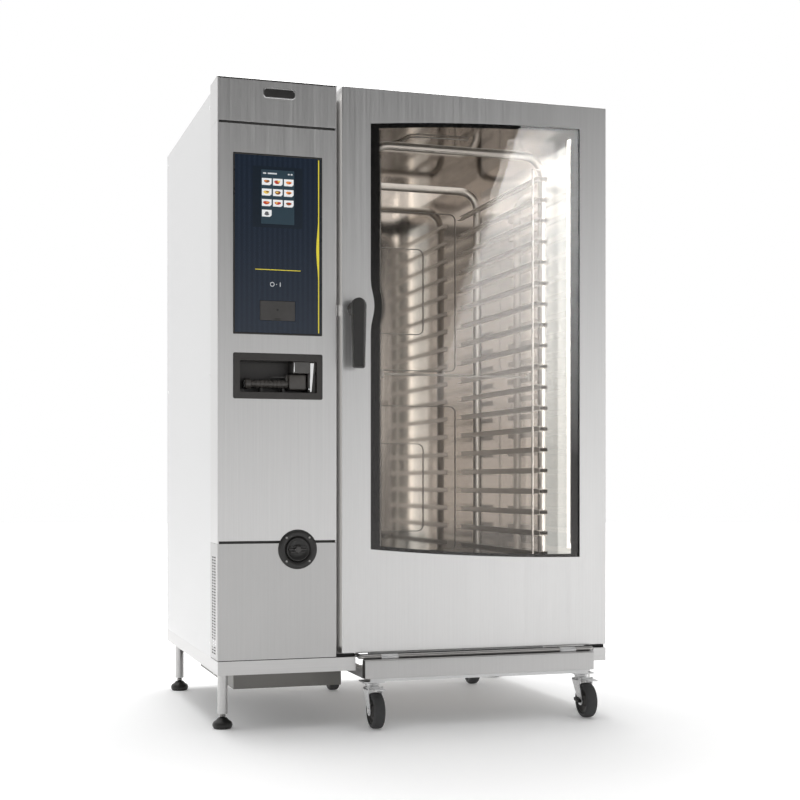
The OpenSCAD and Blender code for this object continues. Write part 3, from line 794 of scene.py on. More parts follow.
def door_skin():
    """Rows go from the side's rear edge forwards, round the fold, and in to the window's edge."""
    inner, outer = door_skin_outlines()
    r = SKIN_EDGE
    turn = np.linspace(0, math.pi / 2, 5)
    depth = np.concatenate([[SKIN_DEEP, *LATCH_SLOT["y"][::-1], *HINGE["y"][::-1]], r * (1 - np.sin(turn))])
    inset = np.concatenate([np.zeros(5), r * (1 - np.cos(turn))])
    middle_x = (door_low[0] + door_high[0]) / 2
    middle_z = (door_low[2] + door_high[2]) / 2
    way = np.stack([np.sign(middle_x - outer[:, 0]), np.sign(middle_z - outer[:, 1])], 1)
    on_x = (np.abs(outer[:, 0] - door_low[0]) < 0.01) | (np.abs(outer[:, 0] - door_high[0]) < 0.01)
    on_z = (np.abs(outer[:, 1] - door_low[2]) < 0.01) | (np.abs(outer[:, 1] - door_high[2]) < 0.01)
    way = way * np.stack([on_x, on_z], 1)
    walls = outer[None] + way[None] * inset[:, None, None]
    flat = walls[-1]
    part = np.array([0.004, *SPINDLE["part"], 1.0])
    front = flat[None] + (inner - flat)[None] * part[:, None, None]
    outline = np.concatenate([walls, front])
    depth = np.concatenate([depth, np.zeros(4)])
    grid = steer(outline, depth[:, None], "y")
    rows, n = grid.shape[:2]
    faces = quads(rows, n)
    middle = grid.reshape(-1, 3)[faces].mean(1)
    x, y, z = middle.T
    level = faces[:, 0] // n
    slot_cut = (x < door_low[0] + 1) & (z > LATCH_SLOT["z"][0]) & (z < LATCH_SLOT["z"][1]) & (level == 1)
    pin_cut = (x > HINGE["x"][0]) & (x < HINGE["x"][1]) & (level == 3) & ((z > 1780) | (z < 220))
    shaft_cut = (level == len(walls) + 1) & (z > SPINDLE["z"][0]) & (z < SPINDLE["z"][1]) & (x < 435)
    points, faces = kept(grid.reshape(-1, 3), faces[~(slot_cut | pin_cut | shaft_cut)])
    made = piece(
        "door_skin_pressed", points, faces, "door", "front_steel", front_steel, replaces=["door_skin"],
    )
    turned_out(made)
    return softened(thickness(made, 1.5), 0.4)


skin = door_skin()
print("door skin:", len(skin.data.polygons), "faces before its thickness")


# %% [markdown]
# ## The black border of the window
# The pane carries a black printed border behind it, so the window looks framed although the glass
# runs on behind the steel. It is wide at the sides, thin at the top and bottom, and fades into a
# few rows of dots, which stop the eye from seeing a hard line.

# %% The printed border
BORDER = {"left": 27.0, "right": 25.0, "top": 11.0, "bottom": 9.0}
PRINT_Y = (7.1, 7.5)
window = window_outline(n_side=96)
window_mid = np.array([np.mean(WINDOW["x"]), np.mean(WINDOW["z"])])
print_black = begin("window_print_black", (0.006, 0.006, 0.006), 0.22)[0]


def narrowed(outline, gap=BORDER):
    """The clear area: the outline scaled about its middle so that each side comes in by its gap."""
    x, z = outline.T
    low, high = outline.min(0), outline.max(0)
    wide, tall = high - low
    clear_wide = wide - gap["left"] - gap["right"]
    clear_tall = tall - gap["bottom"] - gap["top"]
    new_x = low[0] + gap["left"] + (x - low[0]) * clear_wide / wide
    new_z = low[1] + gap["bottom"] + (z - low[1]) * clear_tall / tall
    return np.stack([new_x, new_z], 1)


clear_area = narrowed(window)
beyond = window_mid + (window - window_mid) * (1 + 14 / 660)
ring("window_border", beyond, clear_area, *PRINT_Y, 0.1, "y", "door", "black_plastic", print_black)


def dot_rows(name, edge_x, inward, z0, z1):
    """Five rows of printed dots, each smaller than the last: hexagons on a slanted lattice."""
    turn = np.arange(6) * math.pi / 3
    pitch = 2.6
    points, faces = [], []
    count = int((z1 - z0) / pitch)
    for row, r in enumerate((1.3, 1.15, 0.95, 0.7, 0.4)):
        z = z0 + pitch * (np.arange(count) + 0.5 * (row % 2))
        x = edge_x(z) + inward * (0.9 + 2.1 * row)
        rim = np.stack(
            [
                x[:, None] + r * np.cos(turn), np.full((count, 6), PRINT_Y[0]),
                z[:, None] + r * np.sin(turn),
            ],
            -1,
        )
        start = sum(len(p) for p in points)
        points.append(rim.reshape(-1, 3))
        faces.append(start + np.arange(count * 6).reshape(count, 6))
    return piece(name, np.concatenate(points), np.concatenate(faces), "door", "black_plastic", print_black)


def clear_left(z):
    """The clear area's left edge at height z: the outline's own left edge, moved in by the border."""
    return left_edge(z) + BORDER["left"]


z_run = (WINDOW["z"][0] + 40, WINDOW["z"][1] - 45)
dot_rows("border_dots_left", clear_left, 1, *z_run)
dot_rows("border_dots_right", lambda z: np.full_like(z, WINDOW["x"][1] - BORDER["right"]), -1, *z_run)
print("clear area", np.round(clear_area.max(0) - clear_area.min(0)))

# %% [markdown]
# ## The light in the door
# A strip of white diodes runs up the door's hinge side between the panes, behind the printed
# border. It is what makes the right of the cavity the brightest.

# %% The light strip


def glowing(name, colour, strength):
    """A diffuser: pale plastic that also gives off light, evenly, its colour mottled a little by frost noise.
    """
    material, shader = begin(
        name, scaled(colour, 0.9), 0.5, emission_color=(*colour, 1), emission_strength=strength,
    )
    frost = noise(material, (300, 300, 40), 2.0)
    return wire_up(
        material,
        shader,
        base_color=colours(material, frost, [(0.3, scaled(colour, 0.8)), (0.7, scaled(colour, 0.95))]),
    )


diffuser = glowing("diffuser_white", (1.0, 0.97, 0.92), 2.2)
STRIP_X = (1056.0, 1068.0)
strip = rounded(STRIP_X[0], STRIP_X[1], 14.0, 46.0, 3.0)
plate("door_light_strip", strip, 1700.0, 490.0, 1.5, "z", "door", "front_steel", diffuser)

# %% [markdown]
# ## The handle
# A tapered lever on a round boss, moulded in black plastic. Its front face leans off to the right
# in a broad bevel, which catches the light as a paler stripe.

# %% Lever and boss
handle_low, handle_high = span("door_handle")
GRIP_X = (handle_low[0] + handle_high[0]) / 2
BOSS_Z = 1170.0


def lever_outline(top_r=21.5, foot_half=17.5, foot_r=7.0):
    """Counter-clockwise: a half circle on top, straight tapered sides, a square foot with corners."""
    centre = handle_high[2] - top_r
    foot = handle_low[2]
    t = np.linspace(0, math.pi, 29)
    top = np.stack([GRIP_X + top_r * np.cos(t), centre + top_r * np.sin(t)], 1)
    side = np.linspace(0, 1, 9)[1:-1]
    reach = top_r + (foot_half - top_r) * side
    height = centre + (foot + foot_r - centre) * side
    left_corner = bend(GRIP_X - foot_half + foot_r, foot + foot_r, foot_r, 180)
    right_corner = bend(GRIP_X + foot_half - foot_r, foot + foot_r, foot_r, 270)
    left = np.stack([GRIP_X - reach, height], 1)
    right = np.stack([GRIP_X + reach[::-1], height[::-1]], 1)
    return np.concatenate([top, left, left_corner, right_corner, right])


def lever():
    """Outlines from back to front: rounded rear edge, straight wall, then the lopsided bevel.

    The inset of a point grows with how far its side faces right, so the bevel is broad there.
    """
    outline = lever_outline()
    normal = outward(outline)
    right = np.clip(normal[:, 0], 0, 1)
    front, back = handle_low[1], -42.0
    depth = np.array(
        [
            back, back, back - 1.2, back - 4, front + 11.5, front + 10.5, front + 5.0, front + 1.6,
            front + 0.4, front, front,
        ],
    )
    base = np.array([6.0, 4.0, 1.2, 0.0, 0.0, 0.05, 0.6, 1.4, 2.4, 3.8, 4.4])
    extra = np.array([0.0, 0.0, 0.0, 0.0, 0.0, 0.3, 3.6, 6.2, 7.0, 7.6, 8.0])
    inset = base[:, None] + extra[:, None] * right[None]
    flat = outline[None] - normal[None] * inset[..., None]
    grid = steer(flat, depth[:, None], "y")
    rows, n = grid.shape[:2]
    faces = list(quads(rows, n)) + [range(n), range((rows - 1) * n, rows * n)]
    made = piece(
        "handle_lever", grid.reshape(-1, 3), faces, "handle", "black_plastic", black_plastic,
        replaces=["door_handle"],
    )
    return turned_out(made)


lever()
boss = [(16, -41), (16, -9), (17, -7.5), (19.2, -6.5), (20, -5.4), (20, -1.0), (19.4, -0.5), (8.2, -0.5)]
turned("handle_boss", boss, (GRIP_X, 0, BOSS_Z), "y", "handle", "black_plastic", grey_plastic)
print("handle", np.round(handle_high - handle_low))

# %% [markdown]
# ## What the touch panel shows
# Everything on the panel is print or display under one glass. A home page of picture tiles is
# generic here: white tiles with a few coloured marks for dishes. Each is a very thin raised sheet,
# because the light should catch nothing but colour.

# %% Display and tiles
GLASS_Y = span("touch_glass")[0][1]
LAYER = 0.12
SCREEN = {"x": (121.0, 214.0), "z": (1396.0, 1545.0)}


def lit(name, colour, strength=0.25):
    """A display colour: glossy, a little bright by itself, with the faint mesh of its picture dots."""
    material, shader = begin(name, colour, 0.18, emission_color=(*colour, 1), emission_strength=strength)
    mesh_dots = noise(material, (1200, 1200, 1200), 1.0)
    stops = [(0.3, scaled(colour, 0.93)), (0.7, scaled(colour, 1.05))]
    return wire_up(material, shader, base_color=colours(material, mesh_dots, stops))


screen_dark = lit("screen_dark", (0.01, 0.018, 0.03), 0.0)
screen_teal = lit("screen_teal", (0.03, 0.055, 0.075), 0.1)
tile_white = lit("tile_white", (0.82, 0.83, 0.84), 0.25)
# ink_pale and stripe_yellow also colour the printed lines; their faint glow there is painted light.
ink_pale = lit("ink_pale", (0.72, 0.75, 0.78), 0.1)
stripe_yellow = lit("stripe_yellow", (0.85, 0.72, 0.06), 0.1)
DISH = {
    "red": lit("dish_red", (0.45, 0.05, 0.03)),
    "orange": lit("dish_orange", (0.72, 0.25, 0.06)),
    "brown": lit("dish_brown", (0.22, 0.08, 0.03)),
    "yellow": lit("dish_yellow", (0.8, 0.55, 0.12)),
    "grey": lit("dish_grey", (0.12, 0.12, 0.13)),
}


def print_on_glass(name, outline, layer, material, body="cabinet", slot="panel_glass"):
    """A thin sheet lying on the glass, or on the sheets below it, layer by layer."""
    y = GLASS_Y - LAYER * layer
    return plate(name, outline, y, y + LAYER * 0.9, 0.03, "y", body, slot, material, smooth=False)


print_on_glass("display_surround", rounded(97, 238, 1386, 1554, 3), 1, screen_dark)
print_on_glass("display_screen", rounded(*SCREEN["x"], *SCREEN["z"], 1.5), 2, screen_teal)
for i, (x, w) in enumerate([(126, 9), (139, 26), (196, 5), (204, 5)]):
    print_on_glass(f"display_header_{i}", rounded(x, x + w, 1533, 1537, 1), 3, ink_pale)


def clipped_tile(x, z, w=27.0, h=19.0, cut=4.5):
    """A tile whose lower right corner is cut off: counter-clockwise from the cut."""
    return np.array([
        (x + w / 2, z - h / 2 + cut),
        (x + w / 2, z + h / 2),
        (x - w / 2, z + h / 2),
        (x - w / 2, z - h / 2),
        (x + w / 2 - cut, z - h / 2),
    ])


def blob(x, z, rx, rz, n=20):
    """An ellipse with a gentle three-lobed ripple, for a dish seen from above."""
    t = np.arange(n) * 2 * math.pi / n
    ripple = 1 + 0.08 * np.sin(3 * t)
    return np.stack([x + rx * ripple * np.cos(t), z + rz * ripple * np.sin(t)], 1)


PICTURES = [
    [("brown", 0, 1, 8, 4), ("orange", -3, 2, 4, 2)],
    [("red", -2, 0, 8, 5), ("yellow", 3, 2, 4, 2.5)],
    [("orange", 0, 0, 8, 4), ("red", 3, -1, 3, 2)],
    [("yellow", -1, 0, 8, 4.5), ("brown", 2, 1, 4, 2)],
    [("brown", 0, 0, 8, 5), ("yellow", -2, 1, 4, 2)],
    [("orange", 0, 1, 8, 4), ("brown", 2, 0, 4, 2)],
    [("red", -1, 0, 9, 4.5), ("orange", 2, 1, 5, 2)],
    [("red", 0, 0, 9, 4), ("yellow", -3, 1, 3, 2)],
    [("brown", 0, 0, 8, 4), ("red", 2, 1, 4, 2)],
    [("grey", 0, 0, 5, 5), ("grey", 0, -3, 7, 3)],
]
TILE_PITCH = (31.0, 29.0)
for i, dishes in enumerate(PICTURES):
    row, column = divmod(i, 3)
    x = (SCREEN["x"][0] + SCREEN["x"][1]) / 2 + (column - 1) * TILE_PITCH[0]
    z = 1512 - row * TILE_PITCH[1]
    print_on_glass(f"tile_{i:02d}", clipped_tile(x, z), 3, tile_white)
    for k, (colour, dx, dz, rx, rz) in enumerate(dishes):
        print_on_glass(f"tile_{i:02d}_dish_{k}", blob(x + dx, z + dz, rx, rz), 4 + k, DISH[colour])
print("tiles", len(PICTURES))

# %% [markdown]
# ## Printed lines
# A yellow band up the panel's right edge, a thin line in its middle, and the ring and bar that mark
# the power key. All plain, with no lettering. Their inks glow faintly, which is painted light.

# %% Lines and marks


def band(z, right=285.0, narrow=3.0, wide=8.0, centre=1330.0, reach=90.0):
    """The band's left edge: it swells to its widest at the centre height, as a cosine."""
    near = np.clip(np.abs(z - centre) / reach, 0, 1)
    return right - narrow - (wide - narrow) * 0.5 * (1 + np.cos(math.pi * near))


band_z = np.linspace(1099, 1580, 60)
band_outline = np.concatenate([
    np.stack([np.full(60, 285.0), band_z], 1),
    np.stack([band(band_z)[::-1], band_z[::-1]], 1),
])
print_on_glass("edge_band", band_outline, 1, stripe_yellow)
print_on_glass("middle_line", rounded(104, 232, 1269.0, 1271.0, 0.9), 1, stripe_yellow)
MARK = (152.0, 1230.0)
ring(
    "power_ring", disc(*MARK, 6.2), disc(*MARK, 4.6), GLASS_Y - LAYER, GLASS_Y - 0.01, 0.03, "y",
    "cabinet", "panel_glass", ink_pale, smooth=False,
)
print_on_glass(
    "power_bar", rounded(MARK[0] + 21.5, MARK[0] + 23.3, MARK[1] - 6, MARK[1] + 6, 0.6), 1, ink_pale,
)
print_on_glass("power_dot", disc(MARK[0] + 12, MARK[1], 1.3, 12), 1, ink_pale)

# %% [markdown]
# ## The port cover and the badge
# A soft grey flap hides the port under the glass. High on the top panel sits a small dark badge,
# left blank.

# %% Flap and badge
usb_low, usb_high = span("usb_cover")
flap = rounded(usb_low[0], usb_high[0], 1131.0, 1184.0, 3.0)
plate(
    "port_flap", flap, -2.5, 0.5, 0.8, "y", "usb_flap", "black_plastic", grey_plastic, both=True,
    replaces=["usb_cover"],
)
tab = rounded(158, 176, 1133.2, 1136.0, 1.2)
plate("port_flap_grip", tab, -3.3, -2.4, 0.4, "y", "usb_flap", "black_plastic", black_plastic)
lock = disc(167, 1160, 3.2, 28)
plate("port_flap_mark", lock, -2.62, -2.4, 0.05, "y", "usb_flap", "black_plastic", black_plastic)
badge = rounded(128, 216, 1744, 1770, 9)
plate("badge_blank", badge, -2.2, 0.0, 0.8, "y", "cabinet", "black_plastic", black_plastic)
rim_out, rim_in = rounded(127.2, 216.8, 1743.2, 1770.8, 9.6), rounded(129.5, 214.5, 1745.5, 1768.5, 7.8)
ring("badge_rim", rim_out, rim_in, -2.8, 0.0, 0.5, "y", "cabinet", "rack_steel", chrome)
print("flap", np.round(usb_high - usb_low, 1))

# %% [markdown]
# ## The spray gun's bay
# A shallow box of dark plastic behind a flat bezel. The gun lies in it on two small saddles, with
# its head to the left, and its hose end meets a dock on the right that carries two bright strips.

# %% Bezel and box
BEZEL_R = 5.0
bezel_out = rounded(bay_low[0], bay_high[0], bay_low[2], bay_high[2], BEZEL_R)
bezel_in = rounded(*BAY["x"], *BAY["z"], 3.5)
bay_plastic = moulded("bay_plastic", (0.034, 0.031, 0.029), 0.36, texture=0.012)
ring(
    "bay_bezel", bezel_out, bezel_in, bay_low[1], 0.0, 0.8, "y", "cabinet", "black_plastic", bay_plastic,
    replaces=["spray_recess"],
)
pan_out = rounded(BAY["x"][0] - 2, BAY["x"][1] + 2, BAY["z"][0] - 2, BAY["z"][1] + 2, 5.5)
ring("bay_walls", pan_out, bezel_in, 0.0, BAY["depth"] + 2, 0.2, "y", "cabinet", "black_plastic", bay_plastic)
plate("bay_back", pan_out, BAY["depth"], BAY["depth"] + 2, 0.2, "y", "cabinet", "black_plastic", bay_plastic)

# %% Dock, ledge and saddles
dock_plastic = moulded("dock_plastic", (0.10, 0.096, 0.092), 0.4, texture=0.012)
plate(
    "bay_dock_top",
    rounded(214, BAY["x"][1], 988, BAY["z"][1], 4),
    12,
    69.8,
    2.0,
    "y",
    "cabinet",
    "black_plastic",
    dock_plastic,
)
plate(
    "bay_dock_side",
    rounded(257, BAY["x"][1], BAY["z"][0], 988.5, 4),
    12,
    69.8,
    2.0,
    "y",
    "cabinet",
    "black_plastic",
    grey_plastic,
)
plate(
    "bay_ledge",
    rounded(BAY["x"][0], 78, BAY["z"][0], 941, 2),
    20,
    69.8,
    1.0,
    "y",
    "cabinet",
    "black_plastic",
    grey_plastic,
)
for i, x in enumerate((124, 186)):
    plate(
        f"bay_saddle_{i}",
        rounded(x, x + 6, BAY["z"][0], 945.5, 1.2),
        24,
        54,
        0.8,
        "y",
        "cabinet",
        "black_plastic",
        grey_plastic,
    )


def wedge_strip(x0, x1, z0, z1, taper):
    """An upright strip that narrows towards its foot by the given amount."""
    return np.array([(x1 - taper, z0), (x1, z1), (x0, z1), (x0, z0)], float)


plate(
    "dock_strip_left",
    wedge_strip(216, 218.6, 991, 1017, 0.6),
    10.6,
    12.2,
    0.5,
    "y",
    "cabinet",
    "rack_steel",
    chrome,
)
plate(
    "dock_strip_right",
    wedge_strip(262, 274, 936, 1017, 8.0),
    10.2,
    12.2,
    0.7,
    "y",
    "cabinet",
    "rack_steel",
    chrome,
)
ball = [(3.6 * math.sin(t), -3.6 * math.cos(t)) for t in np.linspace(0.12, math.pi - 0.12, 14)]
turned("dock_ball", ball, (259, 10.5, 944), "y", "cabinet", "rack_steel", chrome, n=32)
print("bay opening", BAY["x"], BAY["z"])

# %% [markdown]
# ## The spray gun
# Head, neck and grip are turned shapes on one line. The head's face has a ring of spray holes,
# and the grip has seven soft ribs, which show as a row of small highlights. The gun's rear is a
# block with rounded edges.

# %% Head, grip and block
gun_plastic = moulded("gun_plastic", (0.085, 0.078, 0.072), 0.32, texture=0.01)
GUN = {"y": 39.0, "z": 958.0}
gun_low, gun_high = span("spray_gun")
rib_x = 112 + (196 - 112) * np.linspace(0, 1, 113)
rib_r = 10.6 + 1.9 * np.abs(np.sin(math.pi * (rib_x - 112) / 12.0)) ** 0.6
barrel = np.concatenate([
    [(12.4, 82.0), (13.6, 82.3), (14.6, 83.2), (15.0, 84.6), (15.0, 96.0), (14.4, 98.2), (12.4, 99.6)],
    [(10.2, 100.2), (9.6, 103.0), (9.6, 109.0), (10.6, 111.6)],
    np.stack([rib_r, rib_x], 1),
    [(12.0, 197.0), (12.0, 205.8)],
])
turned(
    "gun_barrel", barrel, (0, GUN["y"], GUN["z"]), "x", "gun", "black_plastic", gun_plastic, n=40,
    replaces=["spray_gun"],
)
block = rounded(20, 58, max(gun_low[2], 941), gun_high[2], 6)
plate("gun_block", block, 205.0, 254.0, 4.0, "x", "gun", "black_plastic", gun_plastic, both=True)
for side, y in (("near", (30, 35.8)), ("far", (42.2, 48))):
    plate(
        f"gun_ear_{side}", rounded(*y, 966, 983, 2.0), 198.0, 206.5, 1.2, "x", "gun", "black_plastic",
        gun_plastic,
    )


def spray_holes(count_by_ring=(1, 6, 12)):
    """Small raised nozzles on the head's face in rings: each a cone with 8 sides, pointing left."""
    spots = [
        (4.4 * k * math.cos(a), 4.4 * k * math.sin(a))
        for k, n in enumerate(count_by_ring)
        for a in (np.arange(n) * 2 * math.pi / n)
    ]
    turn = np.arange(8) * math.pi / 4
    points, faces = [], []
    for dy, dz in spots:
        start = len(points) * 8
        for r, x in ((1.2, 82.6), (1.2, 81.7), (0.7, 81.3)):
            points.append(
                np.stack(
                    [np.full(8, x), GUN["y"] + dy + r * np.cos(turn), GUN["z"] + dz + r * np.sin(turn)], 1
                ),
            )
        faces += [tuple(start + f) for f in quads(3, 8)]
        faces += [tuple(start + np.arange(8)), tuple(start + 16 + np.arange(8))]
    made = piece("gun_nozzles", np.concatenate(points), faces, "gun", "rack_steel", chrome)
    return turned_out(made)


spray_holes()

# %% The trigger
trigger_low, trigger_high = span("spray_trigger")
lever_side = np.concatenate([
    bend(153.0, 977.6, 1.4, 180),
    [(196.0, 976.0), (202.0, 974.6)],
    bend(202.0, 977.5, 2.9, 270),
    bend(202.0, 977.5, 2.9, 0)[1:],
    [(196.0, 979.6), (175.0, 979.2), (153.0, 979.0)],
])
plate(
    "trigger_lever", lever_side, 36.0, 42.0, 0.7, "y", "trigger", "dark_sheet", grey_plastic, both=True,
    replaces=["spray_trigger"],
)
pin_profile = [(1.0, 31.0), (1.5, 31.5), (1.5, 46.5), (1.0, 47.0)]
turned("trigger_pin", pin_profile, (202.0, 0, 977.5), "y", "trigger", "rack_steel", chrome, n=24)
print("gun", np.round(gun_high - gun_low, 1), "trigger", np.round(trigger_high - trigger_low, 1))

# %% [markdown]
# ## The drain plug
# A moulded flange held by four small screws, then a dark groove, then the cap: a dish that
# curves in towards a raised hub with two wings for the fingers.

# %% Flange, cap and screws
flange = [
    (36.0, 0.0), (36.0, 38.0), (33.6, 38.0), (33.6, -2.2),
    (34.4, -3.2), (36.0, -3.4), (37.2, -5.4), (39.0, -6.6),
    (49.0, -6.2), (52.6, -5.0), (54.6, -2.6), (55.0, -0.2), (55.0, 0.0),
]
turned(
    "plug_ring", flange + [(36.0, 0.0)], (plug_x, 0, plug_z), "y", "cabinet", "black_plastic",
    black_plastic, n=96, replaces=["plug_flange"],
)
cap = [
    (30.5, 30.0), (32.6, 28.0), (32.8, -4.6), (32.2, -6.4),
    (30.6, -7.2), (28.8, -6.6), (26.5, -4.6), (21.0, -3.0),
    (15.0, -2.4), (12.6, -2.6), (11.6, -3.6), (11.2, -6.0), (10.6, -6.8), (4.0, -7.2),
]
turned(
    "plug_dish", cap, (plug_x, 0, plug_z), "y", "plug", "black_plastic", black_plastic, n=96,
    replaces=["plug_cap"],
)
hexagon = disc(plug_x, plug_z, 9.0, 6)
plate("plug_hub", hexagon, -13.0, -5.0, 1.0, "y", "plug", "black_plastic", grey_plastic)
for i in range(3):
    z = plug_z + (i - 1) * 7.0
    half = 26.0 if i == 1 else 21.0
    plate(
        f"plug_wing_{i}",
        rounded(plug_x - half, plug_x + half, z - 1.5, z + 1.5, 1.4),
        -7.6 if i != 1 else -9.0,
        -3.2,
        0.9,
        "y",
        "plug",
        "black_plastic",
        grey_plastic,
    )
screw_head = [(1.0, -6.6), (1.2, -7.2), (2.0, -7.4), (2.6, -7.1), (3.0, -6.6), (3.0, -5.9), (0.8, -5.9)]
for i in range(4):
    turn_to = math.radians(45 + 90 * i)
    spot = (plug_x + 46 * math.cos(turn_to), 0, plug_z + 46 * math.sin(turn_to))
    turned(f"plug_screw_{i}", screw_head, spot, "y", "cabinet", "rack_steel", bar_steel, n=24)
print("plug centre", plug_x, plug_z)

# %% [markdown]
# ## The trolley's front
# The trolley closes the cabinet's foot with one folded sheet: a flat front with a round fold at
# the top, capped at both ends with dark plastic, which paints in the shade inside the sheet's open
# ends. The push bar lies along the fold, a bent tube in two polished sleeves. A rubber seal stands
# behind the bar and closes the gap under the door.

# %% Sheet, bar, sleeves and seals
sheet_low, sheet_high = span("trolley_panel")
SHEET_TOP = 190.0
front_y = sheet_low[1]
sheet_line = np.concatenate([
    [(-12.0, SHEET_TOP)],
    bend(front_y + 4.0, SHEET_TOP - 4.0, 4.0, 90),
    [(front_y, sheet_low[2] + 4.0), (front_y, sheet_low[2])],
])
folded_across(
    "trolley_sheet", sheet_line, sheet_low[0], sheet_high[0], 1.5, "trolley", "frame_steel", lower_steel,
    replaces=["trolley_panel"],
)
# The dark caps at both ends of the sheet are painted shade: they stand for the dark inside its open folded
# ends.
shade_cap_side = rounded(front_y + 2.2, -16.0, sheet_low[2] + 1.5, SHEET_TOP - 2.2, 2.0)
for name, x0, x1 in (
    ("left", sheet_low[0] + 1.5, sheet_low[0] - 1.0), ("right", sheet_high[0] - 1.5, sheet_high[0] + 1.0),
):
    plate(f"trolley_cap_{name}", shade_cap_side, x1, x0, 0.8, "x", "trolley", "black_plastic", black_plastic)
bar_low, bar_high = span("trolley_bar")
BAR = {"r": 6.0, "z": 197.0, "y": -22.0, "bend": 16.0}
bar_left, bar_right = bar_low[0] + BAR["r"], bar_high[0] - BAR["r"]
quarter = np.linspace(0, math.pi / 2, 9)
left_turn = np.stack([
    bar_left + BAR["bend"] * (1 - np.sin(quarter)),
    BAR["y"] + BAR["bend"] * (1 - np.cos(quarter)),
    np.full(9, BAR["z"]),
], 1)
right_turn = left_turn * (-1, 1, 1) + (bar_left + bar_right, 0, 0)
bar_path = np.concatenate([
    [(bar_left, bar_high[1], BAR["z"])], left_turn[::-1], right_turn, [(bar_right, bar_high[1], BAR["z"])],
])
wire("push_bar", bar_path, BAR["r"], "trolley", "frame_steel", bar_steel, n=32, replaces=["trolley_bar"])
sleeve = [
    (6.4, -25.0), (8.2, -25.0), (9.0, -24.2), (9.0, -10.0), (9.0, 10.0), (9.0, 24.2), (8.2, 25.0),
    (6.4, 25.0),
]
bar_middle = (bar_left + bar_right) / 2
for name, x in (("left", bar_middle - 272), ("right", bar_middle + 272)):
    turned(
        f"bar_sleeve_{name}", sleeve, (x, BAR["y"], 194.4), "x", "trolley", "frame_steel", side_steel,
        n=40,
    )
seal = rounded(bar_low[0] + 1, bar_high[0] - 1, SHEET_TOP, 203.4, 1.5)
plate("trolley_seal", seal, -12.0, -9.0, 0.6, "y", "trolley", "soft_black", soft_black)
base_high = span("base_frame")[1]
for name, x0, x1 in (("left", 338, bar_low[0] - 3), ("right", bar_high[0] + 3, base_high[0] - 1)):
    plate(
        f"foot_seal_{name}",
        rounded(x0, x1, base_high[2] - 1, 203.4, 1.0),
        12.0,
        18.0,
        0.6,
        "y",
        "cabinet",
        "soft_black",
        soft_black,
    )
# A dark strip behind the joint between the lower panel and the base frame: painted shade for the gap.
plate(
    "plinth_gap",
    rounded(2, 335, base_high[2] - 1, base_high[2] + 4, 0.5),
    1.5,
    6.0,
    0.3,
    "y",
    "cabinet",
    "soft_black",
    soft_black,
)
print("trolley sheet top", SHEET_TOP, "bar", bar_low, bar_high)

# %% [markdown]
# ## Wires in the cavity
# The rear wall carries two thin wire frames, one inside the other, round each fan's air, and a
# bent steam pipe runs under the ceiling. They are bent from one wire each, with round corners.

# %% Wire frames and the pipe
liner_high = span("cavity_liner")[1]
WIRE_R = 1.3


def framed_wire(name, x0, x1, z0, z1, y):
    """A closed wire round a rectangle: four corners of radius 22, joined by five points a side."""
    flat = rounded(x0, x1, z0, z1, 22.0, n=8)
    path = np.stack([flat[:, 0], np.full(len(flat), y), flat[:, 1]], 1)
    along = np.linspace(0, 1, 7)[1:-1, None]
    corners = path.reshape(4, 9, 3)
    runs = []
    for corner, following in zip(corners, np.roll(corners, -1, 0)):
        runs += [corner, corner[-1] + (following[0] - corner[-1]) * along]
    return wire(name, np.concatenate(runs), WIRE_R, "cabinet", "cavity_steel", frame_steel, n=8, closed=True)


rear_y = liner_high[1] - 5.0
for level, (low, high) in {"low": ((446, 951), (514, 819)), "high": ((1075, 1629), (1202, 1500))}.items():
    framed_wire(f"air_frame_{level}_outer", 470, 1009, *low, rear_y)
    framed_wire(f"air_frame_{level}_inner", 520, 890, *high, rear_y)

ceiling = liner_high[2] - 6.0
pipe = np.array([(560, 470), (633, 354), (636, 300), (644, 274), (668, 266), (740, 261), (822, 257)], float)
steps = np.linspace(0, len(pipe) - 1, 60)
route = np.stack(
    [np.interp(steps, np.arange(len(pipe)), pipe[:, k]) for k in (0, 1)] + [np.full(60, ceiling)], 1,
)
wire("ceiling_pipe", route, 2.2, "cabinet", "cavity_steel", frame_steel, n=10)

# %% [markdown]
# ## The ends of the tray runners
# Each runner is an open channel, so its front end shows as a small dark mouth, dark with shade.
# A thin dark cap in each of the forty mouths paints that shade in, all made as one piece.

# %% Ends of the runners
LEVELS = 20


def runner_ends():
    """Dark caps of painted shade on both sides at every level: each a rounded rectangle in three rows."""
    runner_low, runner_high = span("runners")
    pitch = (runner_high[2] - runner_low[2] - 16.0) / (LEVELS - 1)
    middle = (runner_low[0] + runner_high[0]) / 2
    half = (runner_high[0] - runner_low[0]) / 2
    rows_at = ((133.9, 0), (133.3, 0), (133.0, 0.3))
    points, faces = [], []
    for side in (-1, 1):
        for i in range(LEVELS):
            x = middle + side * (half - 13.0)
            z = runner_low[2] + pitch * i
            flat = rounded(x - 12.4, x + 12.4, z + 3.0, z + 13.5, 2.0, n=2)
            start = sum(len(p) for p in points)
            n = len(flat)
            rows = [steer(flat - outward(flat) * inset, np.full(n, y), "y") for y, inset in rows_at]
            points.append(np.concatenate(rows))
            faces += [tuple(start + f) for f in quads(3, n)]
            faces += [tuple(start + np.arange(n)), tuple(start + 2 * n + np.arange(n))]
    made = piece("runner_end_caps", np.concatenate(points), faces, "trolley", "dark_sheet", mouth_shade)
    return turned_out(made)


# The caps' dark colour is painted shade: it stands for the dark inside each open channel end.
mouth_shade = painted("runner_end_dark", (0.11, 0.10, 0.09), 0.5)
runner_ends()
print("wire frames on the rear wall at", round(rear_y, 1))

# %% [markdown]
# ## Castor wheels
# Grey rubber on a plastic centre. The tread is slightly crowned, and the sides step in to the hub.

# %% Wheels
WHEELS = {
    "wheel_front_left": "front_left_wheel",
    "wheel_front_right": "front_right_wheel",
    "wheel_rear_left": "rear_left_wheel",
    "wheel_rear_right": "rear_right_wheel",
}


